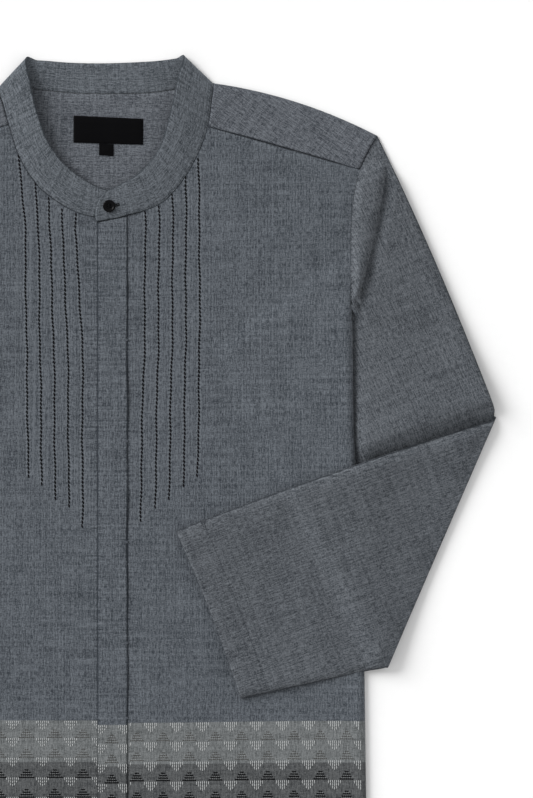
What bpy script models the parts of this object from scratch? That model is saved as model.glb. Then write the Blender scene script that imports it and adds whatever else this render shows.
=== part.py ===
"""A koko shirt laid flat, front up: the cloth pieces as thin walls that lie on each other.

All sizes are in millimetres and are turned to metres when a mesh is made. X runs to the viewer's
right, Y towards the collar and Z up from the surface. Left and right in the names are the wearer's,
so the left front and the left sleeve lie at +X.
"""

import math

import bmesh
import bpy
from mathutils import Matrix, Vector

MM = 0.001

# Cloth
WALL = 1.0
GAP = 0.3
LAYER = WALL + GAP
SEAM = 0.35
NECK_SEAM = 0.7
NECK_FOLD_ROOM = 1.8
TUBE_EDGE = (LAYER + WALL) / 2
WELD = 0.00001
CUT_SNAP = 0.01

# Body of the shirt, laid flat
HEM_Y = -354.0
SHOULDER_TIP = Vector((240.8, 327.8))
SHOULDER_BOW = 6.8
SHOULDER_STEPS = 8
FOLD_STEPS = 4
YOKE_SEAM_ARM = Vector((223.7, 297.6))
BACK_YOKE_SEAM_Y = 270.0
ARMHOLE_LOW = Vector((216.6, 207.7))
ARMHOLE_CURVE = 3.5
ARMHOLE_STEPS = 8
BACK_ARMHOLE_BOW = 12.0
BACK_ARMHOLE_STEPS = 10
UNDERARM_STEPS = 5
SIDE_EDGE = (
    # y, half width
    (162.0, 217.8),
    (66.7, 219.2),
    (-157.5, 228.9),
    (HEM_Y, 231.5),
)

# Sleeves: a flat tube, its armpit drawn in under the body's side
ARMPIT = Vector((112.0, 133.0))
ELBOW_OVER = Vector((348.3, 75.6))
ELBOW_UNDER = Vector((249.6, -151.9))
CUFF_OVER = Vector((59.5, -27.4))
CUFF_UNDER = Vector((117.9, -178.8))
OVER_ARM_BOW = 3.5
FOREARM_BOW = 2.0
HALF_TURN_STEPS = 6
FOLD_LEVEL = LAYER + WALL + GAP / 2
UPPER_ARM_RINGS = (
    # share of the way down the outer edge, share of the way down the underarm
    (0.42, 0.04),
    (0.62, 0.34),
    (0.82, 0.68),
)
FOREARM_RINGS = (0.5, 1.0)
SLEEVE_LIFT = 2 * LAYER
RAMP = 18.0
EDGE_RAMP = 14.0

# Placket
PLACKET_LEFT = -11.0
PLACKET_RIGHT = 15.7
UNDERLAP_RIGHT = 13.0

# Stand collar: one band from its under end, round the back, to its upper end
COLLAR_SECTIONS = (
    # seam x, seam y, seam z, top x, top y, top z; z is the middle of the wall
    (11.5, 252.6, 1.8, 2.0, 277.6, 1.8),
    (-13.8, 254.8, 1.8, -12.0, 282.6, 2.1),
    (-32.0, 260.0, 1.8, -25.0, 290.1, 2.8),
    (-49.0, 269.8, 1.8, -36.0, 298.3, 3.6),
    (-66.3, 284.6, 1.8, -47.0, 309.8, 4.6),
    (-81.5, 309.0, 1.8, -57.0, 326.5, 5.8),
    (-91.0, 338.0, 1.8, -65.0, 350.0, 6.8),
    (-96.5, 357.0, 1.8, -70.6, 374.4, 7.0),
    (-100.3, 371.3, 1.8, -75.0, 397.4, 3.8),
    (-80.0, 372.2, 0.5, -66.0, 396.2, 0.5),
    (-62.0, 369.6, 0.5, -56.0, 395.5, 0.5),
    (-34.0, 366.8, 0.5, -34.0, 393.8, 0.5),
    (0.0, 366.0, 0.5, -2.0, 393.4, 0.5),
    (34.0, 366.8, 0.5, 34.0, 394.9, 0.5),
    (58.0, 369.8, 0.5, 50.0, 396.4, 0.5),
    (76.0, 372.6, 0.5, 59.5, 397.8, 0.5),
    (91.9, 375.5, 1.8, 66.3, 399.3, 3.8),
    (91.2, 359.0, 1.8, 61.1, 379.5, 7.0),
    (87.8, 336.3, 1.8, 56.8, 357.2, 6.8),
    (79.5, 312.5, 1.8, 50.8, 334.8, 5.8),
    (67.0, 290.0, 1.8, 43.9, 315.9, 4.8),
    (50.0, 270.2, 1.8, 34.0, 302.0, 3.9),
    (33.0, 261.2, 1.8, 21.5, 290.9, 3.4),
    (17.0, 256.9, 3.1, 11.0, 285.2, 3.1),
    (7.7, 254.2, 3.1, 4.3, 281.4, 3.1),
    (-12.8, 250.2, 3.1, -3.6, 277.4, 3.1),
)
COLLAR_FOLD = {1: 16, -1: 8}
COLLAR_AT_YOKE_SEAM = {1: 18, -1: 6}
COLLAR_BACK_FIRST = 9
COLLAR_BACK_LAST = 15
COLLAR_END_BOW = 4.0
COLLAR_ACROSS = 4
COLLAR_STEPS = 2

# Collar button
BUTTON_AT = Vector((-0.5, 264.2))
BUTTON_RADIUS = 5.65
BUTTON_RIM = 1.1
BUTTON_HEIGHT = 2.3
BUTTON_DISH = 0.7
BUTTON_HOLE_RADIUS = 0.75
BUTTON_HOLE_OUT = 1.35
BUTTON_SIDES = 32
BUTTON_HOLES = 4
BUTTON_HOLE_SIDES = 10

# Labels inside the back neck
LABEL_THICK = 0.6
LABEL_LOW = Vector((-33.0, 321.0))
LABEL_HIGH = Vector((29.6, 344.0))
TAB_LOW = Vector((-9.9, 309.8))
TAB_HIGH = Vector((3.0, 320.5))

# Colours as linear RGB
CHAMBRAY = (0.105, 0.112, 0.125)
LABEL_BLACK = (0.008, 0.008, 0.009)
BUTTON_BLACK = (0.006, 0.006, 0.007)


def lerp(start, end, share):
    """The point at a share of the way from start to end."""
    return start + (end - start) * share


def turned(vector):
    """The plan direction a quarter turn to the right of this one."""
    return Vector((vector.y, -vector.x)).normalized()


def bowed(start, end, bow, shares):
    """Points from start to end on a shallow curve that stands out to the left by bow at its middle."""
    side = -turned(end - start)
    return [lerp(start, end, share) + side * (4 * bow * share * (1 - share)) for share in shares]


def even(count):
    """Shares from 0 to 1 in count equal steps."""
    return [step / count for step in range(count + 1)]


def mirrored(points, side):
    """The points at +X for side 1, and their mirror image for side -1."""
    return [Vector((point.x * side, point.y)) for point in points]


def left_of(point, start, end):
    """How far a plan point lies to the left of the line from start to end, less than 0 to its right."""
    return (point - start).dot(-turned(end - start))


def over_sleeve(x, y):
    """How far the body is lifted over the sleeve that passes under its side, from 0 to 1."""
    point = Vector((abs(x), y))
    beyond_seam = left_of(point, ARMPIT, ELBOW_UNDER)
    below_cap = -left_of(point, ARMPIT, ARMHOLE_LOW)
    return max(0.0, min(1.0, 1 + beyond_seam / RAMP, 1 + below_cap / RAMP))


def over_body(x, y):
    """How far the turned-back forearm is lifted over the body and the sleeve under it, from 0 to 1."""
    point = Vector((x, y))
    edge_top, edge_low = (Vector((half, at)) for at, half in SIDE_EDGE[1:3])
    beyond_seam = left_of(point, ARMPIT, ELBOW_UNDER)
    beyond_edge = left_of(point, edge_top, edge_low)
    return max(0.0, min(1.0, 1 + beyond_seam / RAMP, 1 - beyond_edge / EDGE_RAMP))


def shifted(start, end, side):
    """The line from start to end, moved to its left by side."""
    move = -turned(end - start) * side
    return start + move, end + move


def body_creases():
    """The lines along which a body panel bends as it climbs over the sleeve, at +X."""
    seam_foot, _ = shifted(ARMPIT, ELBOW_UNDER, -RAMP)
    cap_foot, _ = shifted(ARMPIT, ARMHOLE_LOW, RAMP)
    seam_way = (ELBOW_UNDER - ARMPIT).normalized()
    cap_way = (ARMHOLE_LOW - ARMPIT).normalized()
    outer = meeting(seam_foot, seam_way, cap_foot, cap_way)
    return [
        (ARMPIT, ELBOW_UNDER),
        shifted(ARMPIT, ELBOW_UNDER, -RAMP),
        (ARMPIT, ARMHOLE_LOW),
        shifted(ARMPIT, ARMHOLE_LOW, RAMP),
        (ARMPIT, outer),
    ]


def forearm_creases():
    """The lines along which the turned-back forearm bends over the body's edge."""
    edge_top, edge_low = (Vector((half, at)) for at, half in SIDE_EDGE[1:3])
    seam = (ARMPIT, ELBOW_UNDER)
    edge = (edge_top, edge_low)
    seam_foot = shifted(*seam, -RAMP)
    edge_foot = shifted(*edge, EDGE_RAMP)
    top = meeting_of(seam, edge)
    foot = meeting_of(seam_foot, edge_foot)
    return [seam, seam_foot, edge, edge_foot, (top, foot)]


def meeting(start, way, other_start, other_way):
    """Where two plan lines, each given by a point and a direction, cross."""
    across = way.x * other_way.y - way.y * other_way.x
    between = other_start - start
    along = (between.x * other_way.y - between.y * other_way.x) / across
    return start + way * along


def meeting_of(line, other):
    """Where two plan lines, each given by two points, cross."""
    return meeting(line[0], line[1] - line[0], other[0], other[1] - other[0])


def cut_along(mesh, lines):
    """Cut every face of the mesh along vertical planes through the plan lines."""
    for start, end in lines:
        across = turned(end - start)
        bmesh.ops.bisect_plane(
            mesh,
            geom=mesh.verts[:] + mesh.edges[:] + mesh.faces[:],
            dist=CUT_SNAP,
            plane_co=(start.x, start.y, 0.0),
            plane_no=(across.x, across.y, 0.0),
        )


def material(name, colour, roughness):
    """A plain Principled material."""
    made = bpy.data.materials.new(name)
    made.use_nodes = True
    shader = made.node_tree.nodes["Principled BSDF"]
    shader.inputs["Base Color"].default_value = (*colour, 1.0)
    shader.inputs["Roughness"].default_value = roughness
    return made


def new_object(name, mesh, collection, look, wall=None, grow=0.0):
    """An object from a mesh in millimetres, given a wall by Solidify where one is asked for."""
    bmesh.ops.scale(mesh, vec=(MM, MM, MM), verts=mesh.verts)
    data = bpy.data.meshes.new(name)
    mesh.to_mesh(data)
    mesh.free()
    made = bpy.data.objects.new(name, data)
    data.materials.append(look)
    collection.objects.link(made)
    if wall:
        solidify = made.modifiers.new("Wall", "SOLIDIFY")
        solidify.thickness = wall * MM
        solidify.offset = grow
        solidify.use_even_offset = True
        solidify.use_quality_normals = True
    return made


def panel(name, outline, base, collection, look, lifted=False):
    """A flat panel on its outline, its lower face at base, that climbs over the sleeves where lifted."""
    mesh = bmesh.new()
    corners = [mesh.verts.new((point.x, point.y, 0.0)) for point in outline]
    face = mesh.faces.new(corners)
    face.normal_update()
    if face.normal.z < 0:
        face.normal_flip()
    bmesh.ops.triangulate(mesh, faces=[face])
    if lifted:
        for side in (1, -1):
            cut_along(mesh, [mirrored(line, side) for line in body_creases()])
    for vert in mesh.verts:
        climb = over_sleeve(vert.co.x, vert.co.y) if lifted else 0.0
        vert.co.z = base + SLEEVE_LIFT * climb
    return new_object(name, mesh, collection, look, WALL, 1.0)


def smooth_between(before, start, end, after, share):
    """A point on the smooth curve through four rows, between the middle two."""
    return tuple(
        0.5
        * (
            2 * b
            + (c - a) * share
            + (2 * a - 5 * b + 4 * c - d) * share**2
            + (3 * b - a - 3 * c + d) * share**3
        )
        for a, b, c, d in zip(before, start, end, after)
    )


def collar_rows(first, last):
    """The collar's sections from row first to row last, with smooth ones between them."""
    rows = []
    top = len(COLLAR_SECTIONS) - 1
    for index in range(first, last):
        around = [COLLAR_SECTIONS[max(0, min(top, index + step))] for step in (-1, 0, 1, 2)]
        for step in range(COLLAR_STEPS):
            row = list(smooth_between(*around, step / COLLAR_STEPS))
            row[2] = max(row[2], WALL / 2)
            row[5] = max(row[5], WALL / 2)
            rows.append(row)
    rows.append(COLLAR_SECTIONS[last])
    return rows


def neckline(first, last, away):
    """The collar's seam line from row first to row last, moved away from the collar's band."""
    rows = collar_rows(first, last)
    points = [Vector(row[:2]) for row in rows]
    moved = []
    for index, (row, point) in enumerate(zip(rows, points)):
        along = points[min(index + 1, len(points) - 1)] - points[max(index - 1, 0)]
        side = turned(along)
        if side.dot(Vector(row[3:5]) - point) > 0:
            side = -side
        moved.append(point + side * away)
    return moved


def neck_point(side):
    """Where the shoulder's fold meets the collar, mirrored to +X."""
    row = COLLAR_SECTIONS[COLLAR_FOLD[side]]
    return Vector((row[0] * side, row[1]))


def shoulder_line(side, inset):
    """The shoulder's folded edge from the neck point to the tip, mirrored to +X, moved in by inset."""
    start = neck_point(side)
    points = bowed(start, SHOULDER_TIP, SHOULDER_BOW, even(SHOULDER_STEPS))
    down = turned(SHOULDER_TIP - start)
    return [point + down * inset for point in points]


def side_neckline(side, away):
    """The neck seam of the yoke's front half, from the shoulder's fold down to the yoke seam, at +X."""
    fold, seam = COLLAR_FOLD[side], COLLAR_AT_YOKE_SEAM[side]
    points = neckline(min(fold, seam), max(fold, seam), away)
    return mirrored(points if side > 0 else points[::-1], side)


def front_armhole(away):
    """The armhole seam that shows, from the shoulder tip down to where it goes under, at +X."""
    points = []
    rise = SHOULDER_TIP.y - ARMHOLE_LOW.y
    reach = SHOULDER_TIP.x - ARMHOLE_LOW.x
    for share in even(ARMHOLE_STEPS):
        height = 1 - share
        points.append(Vector((ARMHOLE_LOW.x + reach * height**ARMHOLE_CURVE + away,
                              ARMHOLE_LOW.y + rise * height)))
    return points


def back_armhole(shares, away):
    """The armhole seam on the back, from the shoulder tip down to the armpit, at +X."""
    side = turned(SHOULDER_TIP - ARMPIT)
    return [point + side * away
            for point in bowed(SHOULDER_TIP, ARMPIT, -BACK_ARMHOLE_BOW, shares)]


def side_points():
    """The body's side edge from the armhole down to the hem, at +X."""
    return [Vector((half, at)) for at, half in SIDE_EDGE]


def above(points, level):
    """The stretch of a falling line that lies above a level, ended on it."""
    kept = [point for point in points if point.y > level]
    after = points[len(kept)]
    share = (kept[-1].y - level) / (kept[-1].y - after.y)
    return kept + [lerp(kept[-1], after, share)]


def below(points, level):
    """The stretch of a falling line that lies below a level, started on it."""
    dropped = [point for point in points if point.y > level]
    kept = points[len(dropped):]
    return [above(points, level)[-1]] + kept


def level_at(points, x):
    """Where a line of points crosses the upright line at x."""
    for point, after in zip(points, points[1:]):
        if min(point.x, after.x) <= x <= max(point.x, after.x):
            return lerp(point, after, (x - point.x) / (after.x - point.x))
    return Vector((x, points[-1].y))


def build_back(collection, look):
    """The back, from its yoke seam to the hem, notched where the sleeves pass under it."""
    armhole = below(back_armhole(even(BACK_ARMHOLE_STEPS), -SEAM), BACK_YOKE_SEAM_Y - SEAM)
    half = armhole[:-1] + [ARMPIT, ARMHOLE_LOW] + side_points()
    outline = mirrored(half, -1) + list(reversed(half))
    return panel("back", outline, 0.0, collection, look, lifted=True)


def build_yoke(collection, look):
    """The yoke: its back half lies under, and folds over each shoulder to a front half."""
    neck_back = neckline(COLLAR_BACK_FIRST, COLLAR_BACK_LAST, NECK_SEAM)
    arm_back = above(back_armhole(even(BACK_ARMHOLE_STEPS), -SEAM), BACK_YOKE_SEAM_Y)[1:]
    arm_front = above(front_armhole(0.0), YOKE_SEAM_ARM.y)[1:]
    mesh = bmesh.new()
    low = WALL / 2
    high = low + LAYER
    shoulders = {}
    edges = {}
    for side in (1, -1):
        shoulder = shoulder_line(side, TUBE_EDGE)
        shoulder[0].x += NECK_SEAM + NECK_FOLD_ROOM
        shoulder[-1] += (shoulder[0] - shoulder[-1]).normalized() * SEAM
        shoulders[side] = shoulder
        edges[side] = [
            [mesh.verts.new((point.x * side, point.y, level)) for point in shoulder]
            for level in (low, high)
        ]
    outline = edges[-1][0][::-1]
    outline += [mesh.verts.new((point.x, point.y, low)) for point in neck_back]
    outline += edges[1][0]
    outline += [mesh.verts.new((point.x, point.y, low)) for point in arm_back]
    outline += [mesh.verts.new((-point.x, point.y, low)) for point in reversed(arm_back)]
    mesh.faces.new(outline)
    for side in (1, -1):
        tops = edges[side][1]
        neck_front = side_neckline(side, NECK_SEAM)[1:]
        neck_front[0].x += NECK_FOLD_ROOM / 2
        front = tops[:]
        front += [mesh.verts.new((point.x * side, point.y, high)) for point in arm_front]
        front += [mesh.verts.new((point.x * side, point.y, high)) for point in reversed(neck_front)]
        mesh.faces.new(front)
        fold_strip(mesh, edges[side][0], tops, shoulders[side], side)
    bmesh.ops.recalc_face_normals(mesh, faces=mesh.faces)
    mesh.normal_update()
    bmesh.ops.triangulate(mesh, faces=[face for face in mesh.faces if len(face.verts) > 4])
    return new_object("yoke", mesh, collection, look, WALL, 0.0)


def fold_strip(mesh, lows, highs, line, side):
    """The half-round strip of faces that joins a folded sheet's two layers along its edge."""
    turn = LAYER / 2
    rows = [lows]
    for step in range(1, FOLD_STEPS):
        angle = math.pi * step / FOLD_STEPS
        row = []
        for index, point in enumerate(line):
            along = line[min(index + 1, len(line) - 1)] - line[max(index - 1, 0)]
            out = -turned(along) * (turn * math.sin(angle))
            level = WALL / 2 + turn * (1 - math.cos(angle))
            row.append(mesh.verts.new(((point.x + out.x) * side, point.y + out.y, level)))
        rows.append(row)
    rows.append(highs)
    join_rows(mesh, rows)


def join_rows(mesh, rows, closed=False):
    """Four-sided faces between rows of points, round each row where it is closed."""
    for row, after in zip(rows, rows[1:]):
        count = len(row)
        for index in range(count if closed else count - 1):
            nearby = (index + 1) % count
            mesh.faces.new((row[index], row[nearby], after[nearby], after[index]))


def build_fronts(collection, look):
    """The two fronts, the right one running on under the placket."""
    base = LAYER
    last = len(COLLAR_SECTIONS) - 1
    for name, side in (("front_left", 1), ("front_right", -1)):
        arm = below(front_armhole(0.0), YOKE_SEAM_ARM.y - SEAM)
        seam = COLLAR_AT_YOKE_SEAM[side]
        edge = UNDERLAP_RIGHT + (SEAM if side > 0 else 0.0)
        neck = neckline(*((seam, last) if side > 0 else (0, seam)), NECK_SEAM)[::side]
        neck[0].y -= SEAM
        end = level_at(neck, edge)
        shown = [point for point in neck if (point.x - edge) * side > 0]
        outline = mirrored(arm + side_points(), side) + [Vector((edge, HEM_Y)), end] + shown[::-1]
        panel(name, outline, base, collection, look, lifted=True)


def build_placket(collection, look):
    """The strip down the front opening, over the right front's underlap."""
    last = len(COLLAR_SECTIONS) - 1
    seam = neckline(last - 4, last, NECK_SEAM)
    inside = [point for point in seam if PLACKET_LEFT < point.x < PLACKET_RIGHT]
    top = [level_at(seam, PLACKET_RIGHT)] + inside + [level_at(seam, PLACKET_LEFT)]
    outline = [Vector((PLACKET_LEFT, HEM_Y)), Vector((PLACKET_RIGHT, HEM_Y))] + top
    return panel("placket", outline, 2 * LAYER, collection, look)


def build_collar(collection, look):
    """The stand collar, a band whose two ends come round over the fronts."""
    mesh = bmesh.new()
    sections = collar_rows(0, len(COLLAR_SECTIONS) - 1)
    rows = []
    for index, row in enumerate(sections):
        seam = Vector(row[:3])
        top = Vector(row[3:])
        side = turned((top - seam).to_2d())
        bow = COLLAR_END_BOW if index == len(sections) - 1 else 0.0
        line = []
        for share in even(COLLAR_ACROSS):
            out = side * (-4 * bow * share * (1 - share))
            line.append(mesh.verts.new(lerp(seam, top, share) + out.to_3d()))
        rows.append(line)
    join_rows(mesh, rows)
    return new_object("collar", mesh, collection, look, WALL, 0.0)


def cap_points():
    """The sleeve's seam at the armhole, upper layer and lower layer, and each point's share across."""
    upper = front_armhole(SEAM)
    upper += [lerp(ARMHOLE_LOW, ARMPIT, share) for share in even(UNDERARM_STEPS)[1:]]
    inward = -turned(SHOULDER_TIP - ELBOW_OVER)
    whole = (ARMPIT - SHOULDER_TIP).dot(inward)
    shares = [max(0.0, min(1.0, (point - SHOULDER_TIP).dot(inward) / whole)) for point in upper]
    shares[0] = 0.0
    shares[-1] = 1.0
    lower = back_armhole(shares, SEAM)
    return upper, lower, shares


def sleeve_ring(over, under, shares, over_out, under_out, turn=0.0, fold_out=None, lower=None):
    """One ring of the flat tube.

    over and under are the upper layer's two ends, or its points where lower gives the lower
    layer's own; turn is how far the ring has gone round the elbow's fold, up to half a turn.
    """
    round_edge = LAYER / 2
    low = WALL / 2
    middle = low + round_edge
    if lower is None:
        uppers = [lerp(over, under, share) for share in shares]
        lowers = uppers
    else:
        uppers, lowers = over, lower
    ring = [(point, low + LAYER) for point in uppers]
    for quarter in (1, 0, -1):
        angle = quarter * math.pi / 4
        ring.append((uppers[-1] + under_out * (round_edge * math.cos(angle)),
                     middle + round_edge * math.sin(angle)))
    ring += [(point, low) for point in reversed(lowers)]
    for quarter in (-1, 0, 1):
        angle = quarter * math.pi / 4
        ring.append((uppers[0] + over_out * (round_edge * math.cos(angle)),
                     middle + round_edge * math.sin(angle)))
    placed = []
    for point, level in ring:
        radius = FOLD_LEVEL - level
        if fold_out is not None:
            point = point + fold_out * (radius * math.sin(turn))
        placed.append(Vector((point.x, point.y, FOLD_LEVEL - radius * math.cos(turn))))
    return placed


def straight_cuff():
    """The cuff's two ends with the forearm not turned back, at +X."""
    way = (ELBOW_UNDER - ELBOW_OVER).normalized()
    ends = []
    for point in (CUFF_OVER, CUFF_UNDER):
        along = ELBOW_OVER + way * (point - ELBOW_OVER).dot(way)
        ends.append(along * 2 - point)
    return ends


def upper_arm_rings():
    """The rings from the armhole to just short of the elbow, and the shares across that all use."""
    upper, lower, shares = cap_points()
    out = -turned(ELBOW_OVER - SHOULDER_TIP)
    under_way = (ELBOW_UNDER - ARMPIT).normalized()
    under_out = turned(under_way)
    over_way = (ELBOW_OVER - SHOULDER_TIP).normalized()
    upper[0] += (over_way - out) * TUBE_EDGE
    upper[-1] += (under_way - under_out) * TUBE_EDGE
    lower[0] = upper[0]
    lower[-1] = upper[-1]
    rings = [sleeve_ring(upper, None, shares, out, under_out, lower=lower)]
    for outer, inner in UPPER_ARM_RINGS:
        over = bowed(SHOULDER_TIP, ELBOW_OVER, OVER_ARM_BOW, (outer,))[0] - out * TUBE_EDGE
        under = lerp(ARMPIT, ELBOW_UNDER, inner) - under_out * TUBE_EDGE
        rings.append(sleeve_ring(over, under, shares, out, under_out))
    return rings, shares, out, under_out


def tube(rings):
    """A mesh of four-sided faces round and along the rings."""
    mesh = bmesh.new()
    join_rows(mesh, [[mesh.verts.new(point) for point in ring] for ring in rings], closed=True)
    bmesh.ops.recalc_face_normals(mesh, faces=mesh.faces)
    return mesh


def build_folded_sleeve(collection, look):
    """The left sleeve, its forearm turned back at the elbow to lie on the body."""
    rings, shares, _, _ = upper_arm_rings()
    fold_way = (ELBOW_OVER - ELBOW_UNDER).normalized()
    fold_out = turned(fold_way)
    over = ELBOW_OVER - fold_way * (2 * TUBE_EDGE) - fold_out * FOLD_LEVEL
    under = ELBOW_UNDER + fold_way * (2 * TUBE_EDGE) - fold_out * FOLD_LEVEL
    for step in range(HALF_TURN_STEPS + 1):
        turn = math.pi * step / HALF_TURN_STEPS
        rings.append(sleeve_ring(over, under, shares, fold_way, -fold_way, turn, fold_out))
    top_out = turned(CUFF_OVER - ELBOW_OVER)
    low_out = -turned(CUFF_UNDER - ELBOW_UNDER)
    for share in FOREARM_RINGS:
        start = bowed(ELBOW_OVER, CUFF_OVER, -FOREARM_BOW, (share,))[0] - top_out * TUBE_EDGE
        end = lerp(ELBOW_UNDER, CUFF_UNDER, share) - low_out * TUBE_EDGE
        rings.append(sleeve_ring(start, end, shares, top_out, low_out, math.pi, fold_out))
    mesh = tube(rings)
    cut_along(mesh, forearm_creases())
    for vert in mesh.verts:
        if vert.co.z > FOLD_LEVEL:
            vert.co.z += SLEEVE_LIFT * over_body(vert.co.x, vert.co.y)
    return new_object("sleeve_left", mesh, collection, look, WALL, 0.0)


def build_straight_sleeve(collection, look):
    """The right sleeve, laid straight down beside the body."""
    rings, shares, out, under_out = upper_arm_rings()
    cuff_over, cuff_under = straight_cuff()
    for start, end in ((ELBOW_OVER, ELBOW_UNDER), (cuff_over, cuff_under)):
        rings.append(sleeve_ring(start - out * TUBE_EDGE, end - under_out * TUBE_EDGE,
                                 shares, out, under_out))
    for ring in rings:
        for point in ring:
            point.x = -point.x
    return new_object("sleeve_right", tube(rings), collection, look, WALL, 0.0)


def build_button(collection, cutters, look):
    """The four-hole collar button: a turned disc with a raised rim and a dished middle."""
    base = 3 * LAYER
    profile = (
        # radius, height
        (0.0, BUTTON_HEIGHT - BUTTON_DISH),
        (BUTTON_RADIUS - 2 * BUTTON_RIM, BUTTON_HEIGHT - BUTTON_DISH),
        (BUTTON_RADIUS - BUTTON_RIM, BUTTON_HEIGHT),
        (BUTTON_RADIUS - BUTTON_RIM / 2, BUTTON_HEIGHT),
        (BUTTON_RADIUS, BUTTON_HEIGHT - BUTTON_DISH),
        (BUTTON_RADIUS - BUTTON_RIM / 2, BUTTON_DISH),
        (BUTTON_RADIUS - 2 * BUTTON_RIM, 0.0),
        (0.0, 0.0),
    )
    mesh = bmesh.new()
    points = [mesh.verts.new((radius, 0.0, height)) for radius, height in profile]
    for point, after in zip(points, points[1:]):
        mesh.edges.new((point, after))
    button = new_object("collar_button", mesh, collection, look)
    button.location = (BUTTON_AT.x * MM, BUTTON_AT.y * MM, base * MM)
    screw = button.modifiers.new("Turn", "SCREW")
    screw.steps = BUTTON_SIDES
    screw.render_steps = BUTTON_SIDES
    screw.use_merge_vertices = True
    screw.merge_threshold = WELD
    screw.use_normal_calculate = True
    drills = bmesh.new()
    for step in range(BUTTON_HOLES):
        angle = math.tau * (step + 0.5) / BUTTON_HOLES
        place = Matrix.Translation((BUTTON_HOLE_OUT * math.cos(angle),
                                    BUTTON_HOLE_OUT * math.sin(angle), BUTTON_HEIGHT / 2))
        bmesh.ops.create_cone(drills, cap_ends=True, segments=BUTTON_HOLE_SIDES,
                              radius1=BUTTON_HOLE_RADIUS,
                              radius2=BUTTON_HOLE_RADIUS, depth=2 * BUTTON_HEIGHT, matrix=place)
    cutter = new_object("button_holes", drills, cutters, look)
    cutter.location = button.location
    cutter.hide_render = True
    cutter.display_type = "WIRE"
    holes = button.modifiers.new("Holes", "BOOLEAN")
    holes.object = cutter
    holes.operation = "DIFFERENCE"
    holes.solver = "EXACT"
    return button


def build_label(name, low, high, base, collection, look):
    """A flat woven label from its lower left corner to its upper right one."""
    mesh = bmesh.new()
    bmesh.ops.create_cube(mesh, size=1.0)
    size = high - low
    bmesh.ops.scale(mesh, vec=(size.x, size.y, LABEL_THICK), verts=mesh.verts)
    centre = lerp(low, high, 0.5)
    bmesh.ops.translate(mesh, vec=(centre.x, centre.y, base + LABEL_THICK / 2), verts=mesh.verts)
    return new_object(name, mesh, collection, look)


def main():
    """Clear the scene and build the shirt's pieces."""
    for old in list(bpy.data.objects):
        bpy.data.objects.remove(old, do_unlink=True)
    scene = bpy.context.scene
    shirt = bpy.data.collections.new("koko_shirt")
    cutters = bpy.data.collections.new("cutters")
    scene.collection.children.link(shirt)
    scene.collection.children.link(cutters)
    looks = {
        name: material("chambray " + name, CHAMBRAY, 0.9)
        for name in ("back", "yoke", "fronts", "placket", "collar", "sleeves")
    }
    build_back(shirt, looks["back"])
    build_yoke(shirt, looks["yoke"])
    build_fronts(shirt, looks["fronts"])
    build_placket(shirt, looks["placket"])
    build_collar(shirt, looks["collar"])
    build_folded_sleeve(shirt, looks["sleeves"])
    build_straight_sleeve(shirt, looks["sleeves"])
    build_button(shirt, cutters, material("black button", BUTTON_BLACK, 0.2))
    woven_black = material("black woven label", LABEL_BLACK, 0.7)
    build_label("neck_label", LABEL_LOW, LABEL_HIGH, LAYER, shirt, woven_black)
    build_label("size_tab", TAB_LOW, TAB_HIGH, LAYER, shirt, woven_black)


main()
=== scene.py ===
"""The looks of a koko shirt laid flat, front up, one forearm turned back over its body.

Sizes are in millimetres until a mesh is made. X runs to the viewer's right, Y towards the collar
and Z up from the surface. Left and right in the names are the wearer's, so the left front and the
left sleeve lie at +X.
"""

import logging
import math
from dataclasses import dataclass
from enum import Enum
from typing import Any, Sequence

import bmesh
import bpy
import numpy as np
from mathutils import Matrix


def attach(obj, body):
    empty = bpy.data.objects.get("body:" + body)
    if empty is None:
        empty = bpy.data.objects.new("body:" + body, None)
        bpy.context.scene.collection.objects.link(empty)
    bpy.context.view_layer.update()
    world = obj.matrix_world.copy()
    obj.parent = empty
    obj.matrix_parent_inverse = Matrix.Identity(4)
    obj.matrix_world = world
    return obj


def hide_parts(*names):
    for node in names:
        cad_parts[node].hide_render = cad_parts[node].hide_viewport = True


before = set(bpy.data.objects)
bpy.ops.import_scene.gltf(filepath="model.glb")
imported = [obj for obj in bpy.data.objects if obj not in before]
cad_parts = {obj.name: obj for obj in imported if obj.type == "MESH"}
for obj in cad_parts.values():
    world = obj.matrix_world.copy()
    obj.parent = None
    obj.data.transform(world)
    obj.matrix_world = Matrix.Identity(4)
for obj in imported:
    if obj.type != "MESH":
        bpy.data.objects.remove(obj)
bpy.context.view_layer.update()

LOG = logging.getLogger("koko_shirt")
MM = 0.001
# A measure for points that no seam reaches, and an angle too small to count as a turn.
OUT_OF_REACH = 99.0
NO_TURN = 0.01

Array = Line = Grid = np.ndarray
Ring = tuple[Line, Array]
Pair = tuple[float, float]
Object = bpy.types.Object
Mesh = bpy.types.Mesh
Material = bpy.types.Material
Tree = bpy.types.NodeTree
Node = bpy.types.Node
Socket = bpy.types.NodeSocket


def linear(code: str) -> tuple[float, float, float, float]:
    """Turn an sRGB hex colour to linear RGBA.

    Args:
        code: Six hex digits after a hash sign.

    Returns:
        Linear red, green, blue and an alpha of 1.
    """
    parts = [int(code[at : at + 2], 16) / 255 for at in (1, 3, 5)]
    made = [c / 12.92 if c <= 0.04045 else ((c + 0.055) / 1.055) ** 2.4 for c in parts]
    return (made[0], made[1], made[2], 1.0)


def smooth(share: Array | float) -> Array:
    """Ease a share from 0 to 1, held at its ends."""
    held = np.clip(share, 0.0, 1.0)
    return held * held * (3 - 2 * held)


def turned(way: Array) -> Array:
    """Turn a plan direction a quarter turn to the right, at unit length."""
    return np.array([way[1], -way[0]]) / np.hypot(way[0], way[1])


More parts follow.
